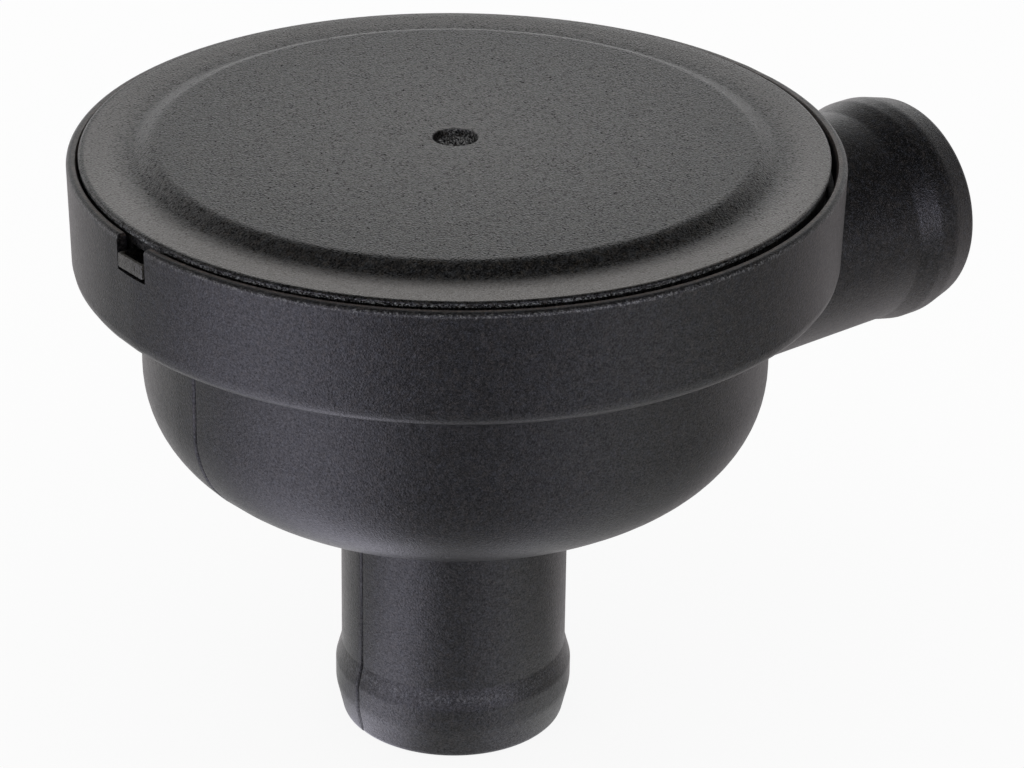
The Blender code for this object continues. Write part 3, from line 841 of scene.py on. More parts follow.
@dataclass
class ValveBody:
    """The housing moulding: bowl, collar, lower and side spigot, and the standpipe with its seat."""

    lower: Spigot = field(default_factory=Spigot)
    side: Spigot = field(default_factory=lambda: Spigot(
        shank_radius=12.28, bead_start=8.9, bead_radius=12.92, bead_top=5.9, bead_foot=3.66,
        end_radius=11.99,
        start_round=2.2, top_round=2.6, end_round=0.95))
    lower_root_radius: float = 12.36
    side_root_radius: float = 12.46
    side_shank_end: float = 10.6
    root_fillet: float = 0.6
    floor_z: float = 29.57
    bowl_radius: float = 33.42
    bowl_wall: float = 2.0
    flat_radius: float = 14.83
    corner_height: float = 14.0
    fullness: float = 2.18
    underside_z: float = 54.10
    foot_radius: float = 40.38
    foot_fillet: float = 1.8
    rim_radius: float = 40.654
    rim_z: float = 66.68
    rim_round: float = 0.45
    rim_wall: float = 1.2
    lead_in: float = 0.25
    lead_in_height: float = 0.5
    rim_lip: float = 0.12
    ledge_z: float = 57.4
    ridge_low: float = 62.5
    ridge_high: float = 63.6
    ridge_depth: float = 0.8
    seat_z: float = 54.7
    seat_chamfer: float = 0.9
    standpipe_radius: float = 12.4
    side_z: float = 44.23
    side_end: float = 65.70
    slot_width: float = 4.89
    slot_z: float = 62.97
    slot_offset: float = 0.38
    cutter_margin: float = 3.0
    slot_reach: float = 5.0
    bore_end: float = 16.2
    bore_overshoot: float = 2.0
    bore_columns: int = 128
    seam_groove: float = 0.42
    seam_width: float = 0.14
    seam_step: float = 0.05
    seam_shift: float = -0.33
    seam_top_gap: float = 0.2
    seam_fade: float = 0.6
    seam_wander: tuple = ((0.08, 0.9, 0.6), (0.05, 2.3, 0.0))
    seam_swing: tuple = (0.35, 2.3, 1.0)
    nub_height: float = 0.35
    nub_width: float = 0.14
    nub_z: float = 1.0
    nub_length: float = 0.6

    def corner(self, radius: float, floor_z: float, count: int) -> Grid:
        """Give the bowl's corner from its straight wall down to its flat floor.

        Formula: a quarter superellipse, |x|^n + |z|^n = 1 with n the fullness, sampled by angle.

        Args:
            radius: of the straight wall.
            floor_z: height of the flat.
            count: number of points.

        Returns:
            Rows (radius, height).
        """
        angle = np.linspace(0.0, np.pi / 2, count)
        across = np.clip(np.cos(angle), 0, 1) ** (2 / self.fullness)
        down = np.clip(np.sin(angle), 0, 1) ** (2 / self.fullness)
        return np.column_stack([self.flat_radius + (radius - self.flat_radius) * across,
                                floor_z + self.corner_height * (1 - down)])

    def outline(self) -> Grid:
        """Give the closed outline: down the outside, up the bore, down the standpipe, up the chamber.

        Returns:
            Rows (radius, height).
        """
        inner = self.rim_radius - self.rim_wall
        chamber_floor = self.floor_z + self.bowl_wall
        mouth = self.lower.bore_radius + self.lower.mouth_chamfer
        ridge_side = (self.ridge_high - self.ridge_low) * 0.3
        corners = np.concatenate([
            np.array([
                (self.rim_radius, self.rim_z, self.rim_round),
                (self.foot_radius, self.underside_z, self.foot_fillet),
                (self.bowl_radius, self.underside_z, 0.4),
            ]),
            plain(self.corner(self.bowl_radius, self.floor_z, 26)),
            np.array([(self.lower_root_radius, self.floor_z, 0.35)]),
            self.lower.outside(),
            np.array([
                (mouth, 0.0, 0.06),
                (self.lower.bore_radius, self.lower.mouth_chamfer, 0.06),
                (self.lower.bore_radius, self.seat_z, 0.12),
                (self.standpipe_radius - self.seat_chamfer, self.seat_z, 0.12),
                (self.standpipe_radius, self.seat_z - self.seat_chamfer, 0.2),
                (self.standpipe_radius, chamber_floor, 0.6),
            ]),
            plain(self.corner(self.bowl_radius - self.bowl_wall, chamber_floor, 16)[::-1]),
            np.array([
                (self.bowl_radius - self.bowl_wall, self.ledge_z, 0.2),
                (inner, self.ledge_z, 0.2),
                (inner, self.ridge_low, 0.1),
                (inner - self.ridge_depth, self.ridge_low + ridge_side, 0.12),
                (inner - self.ridge_depth, self.ridge_high - ridge_side, 0.12),
                (inner, self.ridge_high, 0.1),
                (inner, self.rim_z - self.lead_in_height, 0.1),
                (inner + self.lead_in, self.rim_z, self.rim_lip),
            ]),
        ])
        return rounded(corners, closed=True, steps=5)

    def columns(self) -> tuple[Grid, Grid]:
        """Give each column's base angle, and its distance round the wall from there, for a crisp seam.

        Columns are even over each half turn, and close together at both mould parting lines, where
        they keep a fixed distance in millimetres whatever the radius.

        Returns:
            The angles in radians, and the distances.
        """
        even = np.radians(np.arange(5.5, 174.6, 1.5))
        close = np.array([-0.5, -0.32, -0.22, -0.15, -0.1, -0.05, 0.0, 0.05, 0.1, 0.15, 0.22, 0.32, 0.5])
        base = np.concatenate([np.zeros(len(close)), even, np.full(len(close), np.pi), np.pi + even])
        offset = np.concatenate([close, np.zeros(len(even)), close + self.seam_shift, np.zeros(len(even))])
        return base, offset

    def shell(self) -> Surface:
        """Turn the outline, with the mould parting line at both ends of the X axis.

        Formula: the radius gets a narrow valley, -g exp(-(s / w)^2), and a step, half of h times
        tanh(s / w), where s is the distance round the wall from the parting line. Both fade out under
        the collar, whose ring of the tool has no joint, and don't reach the bore. The line wanders by two
        slow sine waves of the height, each (size, rate, start), and its depth swings with a third. A
        small flash nub stands on it at the lower spigot's nose.

        Returns:
            The housing without its side spigot.
        """
        outline = self.outline()
        base, offset = self.columns()
        radius, height = outline[:, :1], outline[:, 1:2]
        angle = base[None] + offset[None] / radius
        across = (angle - base[None]) * radius - np.where(base == np.pi, self.seam_shift, 0.0)[None]
        across = across + sum(size * np.sin(rate * height + start) for size, rate, start in self.seam_wander)
        outside = (np.arange(len(outline)) < np.argmin(outline[:, 1]))[:, None]
        share = np.clip((self.underside_z - self.seam_top_gap - height) / self.seam_fade, 0, 1) * outside
        near = np.isin(base, (0.0, np.pi))[None]
        size, rate, start = self.seam_swing
        depth = self.seam_groove * (1.0 + size * np.sin(rate * height + start))
        valley = -depth * np.exp(-(across / self.seam_width) ** 2) * near
        side_sign = np.where(np.sin(base) > 1e-9, 1.0, np.where(np.sin(base) < -1e-9, -1.0, 0.0))[None]
        facing = np.where(base > 1.0, -1.0, 1.0)[None]
        ramp = np.where(near, np.tanh(across / self.seam_width) * facing, side_sign)
        step = 0.5 * self.seam_step * (ramp - 1.0)
        nub = self.nub_height * np.exp(-(across / self.nub_width) ** 2) * (base > 1.0)[None] * near
        nub = nub * np.exp(-((height - self.nub_z) / self.nub_length) ** 2)
        surface = Surface()
        surface.add_grid(polar(radius + share * (valley + step + nub), angle, height), wrap_rows=True)
        return surface

    def wall_radius(self, height: Grid, share: float) -> Grid:
        """Give the bowl wall's radius at a height.

        Args:
            height: above the origin.
            share: of the way from the wall's inside to its outside.

        Returns:
            The radius, or one a little outside the bowl where the height lies above its wall.
        """
        outer = self.corner(self.bowl_radius, self.floor_z, 60)[::-1]
        inner = self.corner(self.bowl_radius - self.bowl_wall, self.floor_z + self.bowl_wall, 60)[::-1]
        outside = np.interp(height, outer[:, 1], outer[:, 0])
        inside = np.interp(height, inner[:, 1], inner[:, 0])
        middle = inside + (outside - inside) * share
        above = self.bowl_radius + 1.5
        return np.where(height > self.underside_z - 0.3, above, middle)

    def side_spigot(self) -> Surface:
        """Make the side spigot as a solid that ends inside the bowl's wall.

        Formula: a point at radius p and angle a round the spigot's axis lies at (x, p sin a,
        axis height + p cos a). Outside the wall x runs straight; the last rows lie on the surface half
        way through the wall, x = sqrt(wall radius^2 - y^2), and the rows before them flare by the
        fillet, f (1 - sqrt(1 - (1 - d / f)^2)) at distance d from the wall. The parting line's valley
        runs along the underside.

        Returns:
            The closed solid, without its bore.
        """
        half_turn = np.radians(np.arange(3.0, 178.0, 2.5))
        other_half = np.radians(np.arange(183.0, 358.0, 2.5))
        close = np.array([-0.3, -0.18, -0.1, -0.05, 0.0, 0.05, 0.1, 0.18, 0.3])
        at_seam, away_from_it = np.zeros(len(close)), np.zeros(len(half_turn))
        base = np.concatenate([at_seam, half_turn, at_seam + np.pi, other_half])
        offset = np.concatenate([close, away_from_it, close, away_from_it])
        near = base == np.pi
        corners = np.concatenate([[(self.side.shank_radius, self.side_shank_end, 0.0)], self.side.outside(),
                                  [(self.side.bore_radius - 0.5, 0.0, 0.0)]])
        outer = rounded(corners, closed=False, steps=7)[::-1]
        radius, distance = outer[:, :1], outer[:, 1:2]
        turn = base[None] + offset[None] / self.side.shank_radius
        valley = 0.6 * self.seam_groove * np.exp(-(offset / self.seam_width) ** 2) * near
        grid_radius = radius - valley[None] * np.clip(distance / 1.5, 0, 1)
        rows = [self.around_side(grid_radius, turn, self.side_end - distance)]
        root = self.side_root_radius
        y = root * np.sin(turn)
        z = self.side_z + root * np.cos(turn)
        skin = np.sqrt(np.maximum(self.wall_radius(z, 1.0) ** 2 - y ** 2, 1.0))
        away = np.linspace(1.0, 0.0, 6)[:, None]
        flare = self.root_fillet * (1 - np.sqrt(1 - (1 - away) ** 2))
        calm = np.clip(np.abs(z - self.underside_z) / 1.2 - 0.3, 0, 1) * (z < self.underside_z)
        shank_end = skin + self.root_fillet
        span = self.side_end - self.side_shank_end - shank_end
        share = np.array([0.2, 0.4, 0.6, 0.8, 0.96])[:, None]
        shank = self.side.shank_radius + (root - self.side.shank_radius) * share
        shank_x = self.side_end - self.side_shank_end - span * share
        rows.append(self.around_side(shank - valley[None], turn, shank_x))
        rows.append(self.around_side(root + flare * calm, turn, skin + self.root_fillet * away))
        for size in (root + 0.2, root - 1.2, self.side.bore_radius - 0.6):
            y = size * np.sin(turn)
            z = self.side_z + size * np.cos(turn)
            half_way = np.sqrt(np.maximum(self.wall_radius(z, 0.5) ** 2 - y ** 2, 1.0))
            rows.append(self.around_side(size, turn, half_way))
        pole_x = self.bowl_radius - self.bowl_wall / 2
        return closed_grid(np.concatenate(rows), (self.side_end, 0.0, self.side_z),
                           (pole_x, 0.0, self.side_z))

    def around_side(self, radius: Grid, turn: Grid, x: Grid) -> Grid:
        """Give points round the side spigot's axis, columns running so that faces look outwards."""
        radius, turn, x = np.broadcast_arrays(radius, turn, x)
        return np.stack([x, -radius * np.sin(turn), self.side_z + radius * np.cos(turn)], axis=-1)

    def side_bore(self) -> Surface:
        """Make the cutter for the side spigot's bore and its chamfered mouth.

        Returns:
            The cutter, which runs out past the end face and in past the bowl's wall.
        """
        mouth = self.side.bore_radius + self.side.mouth_chamfer
        start = self.side_end + self.bore_overshoot
        ends = np.array([(mouth, start), (mouth, self.side_end),
                         (self.side.bore_radius, self.side_end - self.side.mouth_chamfer),
                         (self.side.bore_radius, self.bore_end)])
        grid = self.around_side(ends[:, :1], even_angles(self.bore_columns)[None], ends[:, 1:2])
        return closed_grid(grid, (start, 0.0, self.side_z), (self.bore_end, 0.0, self.side_z))

    def build(self) -> None:
        """Make the moulding, cut its bore and slot, and let it ride on the housing."""
        body = add_object("body_moulding", self.shell())
        spigot = add_object("side_spigot_form", self.side_spigot())
        bore = add_object("side_bore_cutter", self.side_bore())
        half = self.slot_width / 2
        slot = box_surface(
            (-self.rim_radius - self.cutter_margin, self.slot_offset - half, self.slot_z),
            (-self.rim_radius + self.slot_reach, self.slot_offset + half, self.rim_z + self.cutter_margin))
        cutter = add_object("slot_cutter", slot)
        combine(body, [(spigot, Join.ADD), (bore, Join.CUT), (cutter, Join.CUT)])
        smooth(body)
        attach(body, Carrier.HOUSING.value)
        stand_in(body, "valve_body", BODY_FINISH.build())


# Lid


@dataclass
class Lid:
    """The snap-in lid: raised disc, crowned rim, gate recess, index lug, and the skirt underneath."""

    radius: float = 39.15
    top_z: float = 67.22
    edge_taper: float = 0.27
    edge_drop: float = 0.15
    edge_round: float = 0.12
    lip_thickness: float = 0.62
    neck_radius: float = 38.75
    thickness: float = 1.8
    disc_radius: float = 31.61
    disc_height: float = 0.93
    disc_slope: float = 1.93
    disc_dish: float = 0.1
    disc_round: float = 2.2
    foot_round: float = 2.0
    climb_radius: float = 36.1
    climb: float = 0.09
    crest_radius: float = 37.9
    hollow: float = 0.15
    fall: float = 0.02
    recess_radius: float = 2.38
    recess_depth: float = 0.9
    groove_radius: float = 38.26
    groove_low: float = 62.2
    groove_high: float = 63.9
    shoulder_radius: float = 39.1
    flange_z: float = 60.0
    flange_thickness: float = 1.2
    flange_radius: float = 34.02
    skirt: float = 2.0
    stop_radius: float = 24.52
    stop_width: float = 1.8
    stop_z: float = 65.3
    lug_half: float = 2.145
    lug_offset: float = 0.33
    lug_low: float = 63.32
    lug_high: float = 64.89
    lug_face: float = 40.39
    lug_wall: float = 0.3
    pocket_radius: float = 37.2
    pocket_top: float = 65.4
    vent_half: float = 1.2
    vent_low: float = 62.5
    vent_high: float = 63.3
    cutter_margin: float = 3.0
    vent_margin: float = 1.0
    lug_bevel: float = 0.14
    stub_height: float = 0.2
    stub_waves: tuple = ((4.1, 1.7, 0.4), (-2.3, 5.2, 1.9), (7.3, -3.1, 0.0))
    stub_crumbs: tuple = ((13.0, 5.1, 0.0), (-6.2, 12.4, 0.7), (9.1, -10.7, 2.2))
    wave_height: float = 0.1
    crumb_height: float = 0.045
    shift: tuple = (-0.187, 0.151, 0.0)
    columns: int = 300

    def outline(self) -> Grid:
        """Give the outline from the recess floor out over the top, down the skirt and back underneath.

        The disc is dished by a parabola, top - dish (1 - (r / R)^2). The rim round it climbs from its
        hollow foot to a crest and falls a little from there to its edge.

        Returns:
            Rows (radius, height).
        """
        disc_top = self.top_z + self.disc_height
        recess_z = disc_top - self.disc_dish - self.recess_depth
        radii = np.linspace(self.recess_radius + 0.5, self.disc_radius - 1.6, 12)
        disc = np.column_stack([radii, disc_top - self.disc_dish * (1 - (radii / self.disc_radius) ** 2)])
        foot = self.disc_radius + self.disc_slope
        under, disc_under = self.top_z - self.thickness, disc_top - self.thickness
        skirt_inner = self.groove_radius - self.skirt
        corners = np.concatenate([
            np.array([(0.0, recess_z, 0.0)]),
            plain(np.column_stack([np.linspace(0.12, 2.2, 20), np.full(20, recess_z)])),
            np.array([(self.recess_radius, recess_z, 0.12),
                      (self.recess_radius, disc_top - self.disc_dish, 0.1)]),
            plain(disc),
            np.array([
                (self.disc_radius, disc_top, self.disc_round),
                (foot, self.top_z - self.hollow, self.foot_round),
                (self.climb_radius, self.top_z - self.hollow + self.climb, 20.0),
                (self.crest_radius, self.top_z, 12.0),
                (self.radius - self.edge_taper, self.top_z - self.fall, self.edge_round),
                (self.radius, self.top_z - self.fall - self.edge_drop, self.edge_round),
                (self.radius, self.top_z - self.lip_thickness, 0.08),
                (self.neck_radius, self.top_z - self.lip_thickness, 0.08),
                (self.neck_radius, self.groove_high, 0.1),
                (self.groove_radius, self.groove_high, 0.1),
                (self.groove_radius, self.groove_low, 0.1),
                (self.shoulder_radius, self.groove_low, 0.15),
                (self.shoulder_radius, self.flange_z, 0.2),
                (self.flange_radius, self.flange_z, 0.2),
                (self.flange_radius, self.flange_z + self.flange_thickness, 0.1),
                (skirt_inner, self.flange_z + self.flange_thickness, 0.3),
                (skirt_inner, under, 0.3),
                (self.disc_radius, under, 0.3),
                (self.disc_radius - self.disc_slope, disc_under, 0.3),
                (self.stop_radius, disc_under, 0.3),
                (self.stop_radius, self.stop_z, 0.2),
                (self.stop_radius - self.stop_width, self.stop_z, 0.2),
                (self.stop_radius - self.stop_width, disc_under, 0.3),
                (0.0, disc_under, 0.0),
            ]),
        ])
        return rounded(corners, closed=False, steps=5)

    def shell(self) -> Surface:
        """Turn the outline, with the broken gate's stub in the recess.

        Formula: inside the recess the floor gets a sum of three slow and three quick waves,
        sin(a x + b y + c), that cross at odd angles, faded out at the recess wall.

        Returns:
            The lid without its lug.
        """
        outline = self.outline()
        inner = outline[1:-1]
        grid = polar(inner[:, :1], even_angles(self.columns)[None], inner[:, 1:2])
        x, y = grid[..., 0], grid[..., 1]
        low = grid[..., 2] < self.top_z + self.disc_height - self.disc_dish - self.recess_depth + 0.05
        fade = np.clip((self.recess_radius - 0.2 - inner[:, :1]) / 0.4, 0, 1) * low
        wave, crumb = (sum(np.sin(a * x + b * y + c) for a, b, c in waves)
                       for waves in (self.stub_waves, self.stub_crumbs))
        stub = self.wave_height * wave + self.crumb_height * crumb + self.stub_height
        grid[..., 2] += fade * (inner[:, :1] < self.recess_radius) * stub
        return closed_grid(grid, (0.0, 0.0, outline[0, 1] + 0.25), (0.0, 0.0, outline[-1, 1]))

    def build(self) -> None:
        """Make the lid with its hollow lug and its vent, and let it ride on the housing."""
        lid = add_object("lid_moulding", self.shell())
        middle = self.lug_offset
        lug = box_surface((-self.lug_face, middle - self.lug_half, self.lug_low),
                          (-self.groove_radius + self.skirt / 2, middle + self.lug_half, self.lug_high))
        lug_form = bevelled(add_object("lug_form", lug), self.lug_bevel)
        vent_end = -self.groove_radius + self.skirt + self.vent_margin
        vent = box_surface((-self.lug_face - self.cutter_margin, middle - self.vent_half, self.vent_low),
                           (vent_end, middle + self.vent_half, self.vent_high))
        inside = self.lug_half - self.lug_wall
        pocket = box_surface((-self.lug_face + self.lug_wall, middle - inside, self.lug_low + self.lug_wall),
                             (-self.pocket_radius, middle + inside, self.pocket_top))
        combine(lid, [(lug_form, Join.ADD), (add_object("vent_cutter", vent), Join.CUT),
                      (add_object("lug_pocket_cutter", pocket), Join.CUT)])
        points = np.empty(len(lid.data.vertices) * 3)
        lid.data.vertices.foreach_get("co", points)
        points = points.reshape(-1, 3) + np.array(self.shift) * METRES
        lid.data.vertices.foreach_set("co", points.ravel())
        smooth(lid)
        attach(lid, Carrier.HOUSING.value)
        stand_in(lid, "lid", LID_FINISH.build())


# Diaphragm, plate and spring


@dataclass
class DiaphragmStack:
    """The rubber diaphragm with the cup, plate and clip that it carries."""

    bead_inner: float = 34.32
    bead_outer: float = 37.02
    bead_low: float = 57.7
    bead_high: float = 59.7
    cup_radius: float = 24.52
    membrane_z: float = 61.7
    membrane: float = 0.6
    hole_radius: float = 2.8
    cup_z: float = 62.6
    cup_floor: float = 1.2
    cup_rim_z: float = 65.0
    cup_rim: float = 1.2
    stud_radius: float = 2.5
    stud_foot: float = 57.7
    plate_radius: float = 18.0
    plate_z: float = 60.0
    plate_thickness: float = 1.4
    guide_inner: float = 13.2
    guide_outer: float = 14.3
    guide_height: float = 2.0
    clip_radius: float = 4.8
    clip_low: float = 58.9
    clip_high: float = 59.7
    teeth: int = 6

    def build_diaphragm(self) -> None:
        """Make the diaphragm: clamped bead, a fold that eases down to it, and the flat centre."""
        web_z = self.bead_low + (self.bead_high - self.bead_low - self.membrane) / 2
        fold = eased((self.membrane_z, self.cup_radius), (web_z, self.bead_inner), 22)[:, ::-1]
        corners = np.concatenate([
            np.array([(self.hole_radius, self.membrane_z + self.membrane, 0.1)]),
            plain(fold + np.array([0.0, self.membrane])),
            np.array([
                (self.bead_inner + 0.05, self.bead_high, 0.5),
                (self.bead_outer, self.bead_high, 0.5),
                (self.bead_outer, self.bead_low, 0.3),
                (self.bead_inner + 0.05, self.bead_low, 0.3),
            ]),
            plain(fold[::-1]),
            np.array([(self.hole_radius, self.membrane_z, 0.1)]),
        ])
        piece = add_object("rubber_diaphragm", turned_ring(rounded(corners, True, 4), 200))
        smooth(piece)
        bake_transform(piece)
        stand_in(piece, "diaphragm", MouldedRubber().build())

    def build_cup(self) -> None:
        """Make the cup: a shallow dish with a rolled rim, and its stud."""
        inner = self.cup_radius - self.cup_rim
        floor_top = self.cup_z + self.cup_floor
        corners = np.array([
            (0.0, floor_top + 0.5, 0.0),
            (3.4, floor_top + 0.5, 0.3),
            (4.2, floor_top, 0.4),
            (inner, floor_top, 0.6),
            (inner, self.cup_rim_z, 0.3),
            (self.cup_radius, self.cup_rim_z, 0.4),
            (self.cup_radius, self.cup_z, 0.5),
            (self.stud_radius, self.cup_z, 0.1),
            (self.stud_radius, self.stud_foot + 0.6, 0.1),
            (self.stud_radius * 0.75, self.stud_foot, 0.15),
            (0.0, self.stud_foot, 0.0),
        ])
        piece = add_object("stiffening_cup", turned_solid(rounded(corners, False, 5), 160))
        smooth(piece)
        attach(piece, Carrier.PLATE.value)
        stand_in(piece, "diaphragm_cup", CUP_FINISH.build())

    def build_plate(self) -> None:
        """Make the valve plate: a disc with a raised rim on its foot side that centres the spring."""
        top = self.plate_z + self.plate_thickness
        foot = self.plate_z - self.guide_height
        corners = np.array([
            (self.hole_radius, top, 0.15),
            (self.plate_radius, top, 0.35),
            (self.plate_radius, self.plate_z, 0.35),
            (self.guide_outer, self.plate_z, 0.15),
            (self.guide_outer, foot, 0.3),
            (self.guide_inner, foot, 0.3),
            (self.guide_inner, self.plate_z, 0.3),
            (self.hole_radius, self.plate_z, 0.15),
        ])
        piece = add_object("seat_plate", turned_ring(rounded(corners, True, 5), 160))
        smooth(piece)
        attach(piece, Carrier.PLATE.value)
        stand_in(piece, "valve_plate", NaturalAcetal().build())

    def build_clip(self) -> None:
        """Make the push-on clip: a dished ring with teeth that grip the stud.

        Formula: the inner edge's radius swings between tooth tip and slot foot with a steep wave of
        cos(n a), and the teeth drop below the ring as they come in.
        """
        angle = even_angles(240)[None]
        tooth = 0.5 + 0.5 * np.tanh(4.0 * np.cos(self.teeth * angle))
        tip = self.stud_radius + 0.02 + (1 - tooth) * 1.0
        section = np.array([(0.0, 0.0, 0.0), (1.0, 0.0, 0.04), (1.0, -1.0, 0.04), (0.0, -1.0, 0.0)])
        section = rounded(section, True, 3)
        share, level = section[:, :1], section[:, 1:2]
        radius = tip + (self.clip_radius - tip) * share
        dish = -0.28 * np.clip((3.9 - radius) / 1.4, 0, 1) ** 1.5
        height = self.clip_high - 0.05 + dish + 0.42 * level
        surface = Surface()
        surface.add_grid(polar(radius, angle, height), wrap_rows=True)
        piece = add_object("push_on_clip", surface)
        smooth(piece)
        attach(piece, Carrier.PLATE.value)
        stand_in(piece, "plate_clip", CLIP_FINISH.build())

    def build(self) -> None:
        """Make all four pieces."""
        self.build_diaphragm()
        self.build_cup()
        self.build_plate()
        self.build_clip()


@dataclass
class SpringPack:
    """The regulating spring round the standpipe and the washer that it stands on."""

    mean_radius: float = 15.35
    wire_radius: float = 0.65
    turns: float = 7.5
    foot_z: float = 32.97
    head_z: float = 59.7
    end_pitch: float = 1.6
    wire_steps: int = 420
    wire_sides: int = 14
    ground: float = 0.12
    washer_inner: float = 13.2
    washer_outer: float = 17.0
    washer_low: float = 31.87
    washer_high: float = 32.67

    def wire_height(self, turn: Grid) -> Grid:
        """Give the wire centre's height after a number of turns: flat end coils, even pitch between.

        Args:
            turn: turns from the spring's foot.

        Returns:
            The height of the wire's centre.
        """
        low, high = self.foot_z + self.wire_radius, self.head_z - self.wire_radius
        return np.interp(turn, [0.0, 1.0, self.turns - 1.0, self.turns],
                         [low, low + self.end_pitch, high - self.end_pitch, high])

    def spring(self) -> Surface:
        """Sweep the wire's circle along the helix, and grind both ends flat.

        Formula: centre (R cos t, R sin t, h(t)); round it w (cos u) along the radius and w (sin u)
        along the binormal, taken as Z tilted by the pitch. Heights are held between the ground faces.

        Returns:
            The closed spring.
        """
        turn = np.linspace(0.0, self.turns, self.wire_steps + 1)
        angle = 2 * np.pi * turn[:, None]
        around = even_angles(self.wire_sides)[None]
        climb = np.gradient(self.wire_height(turn), turn)[:, None] / (2 * np.pi * self.mean_radius)
        slant = np.arctan(climb)
        out = self.mean_radius + self.wire_radius * np.cos(around)
        sideways = -self.wire_radius * np.sin(around) * np.sin(slant)
        x = out * np.cos(angle) - sideways * np.sin(angle)
        y = out * np.sin(angle) + sideways * np.cos(angle)
        z = self.wire_height(turn)[:, None] + self.wire_radius * np.sin(around) * np.cos(slant)
        z = np.clip(z, self.foot_z + self.ground, self.head_z - self.ground)
        grid = np.stack([x, y, z], axis=-1)
        return closed_grid(grid, tuple(grid[0].mean(0)), tuple(grid[-1].mean(0)))

    def build(self) -> None:
        """Make the spring, which stretches between housing and plate, and its washer."""
        spring = add_object("coil_spring", self.spring())
        smooth(spring, 50.0)
        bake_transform(spring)
        stand_in(spring, "regulating_spring", WIRE_FINISH.build())
        corners = np.array([
            (self.washer_inner, self.washer_high, 0.12), (self.washer_outer, self.washer_high, 0.2),
            (self.washer_outer, self.washer_low, 0.12), (self.washer_inner, self.washer_low, 0.2),
        ])
        washer = add_object("plain_washer", turned_ring(rounded(corners, True, 4), 128))
        smooth(washer)
        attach(washer, Carrier.HOUSING.value)
        stand_in(washer, "spring_washer", WASHER_FINISH.build())


# Studio


def grey_stops(stops: tuple, reach: float = 1.0) -> list:
    """Turn (place, level) pairs to a colour ramp's stops, with each place as a share of the reach."""
    return [(place / reach, (level, level, level)) for place, level in stops]


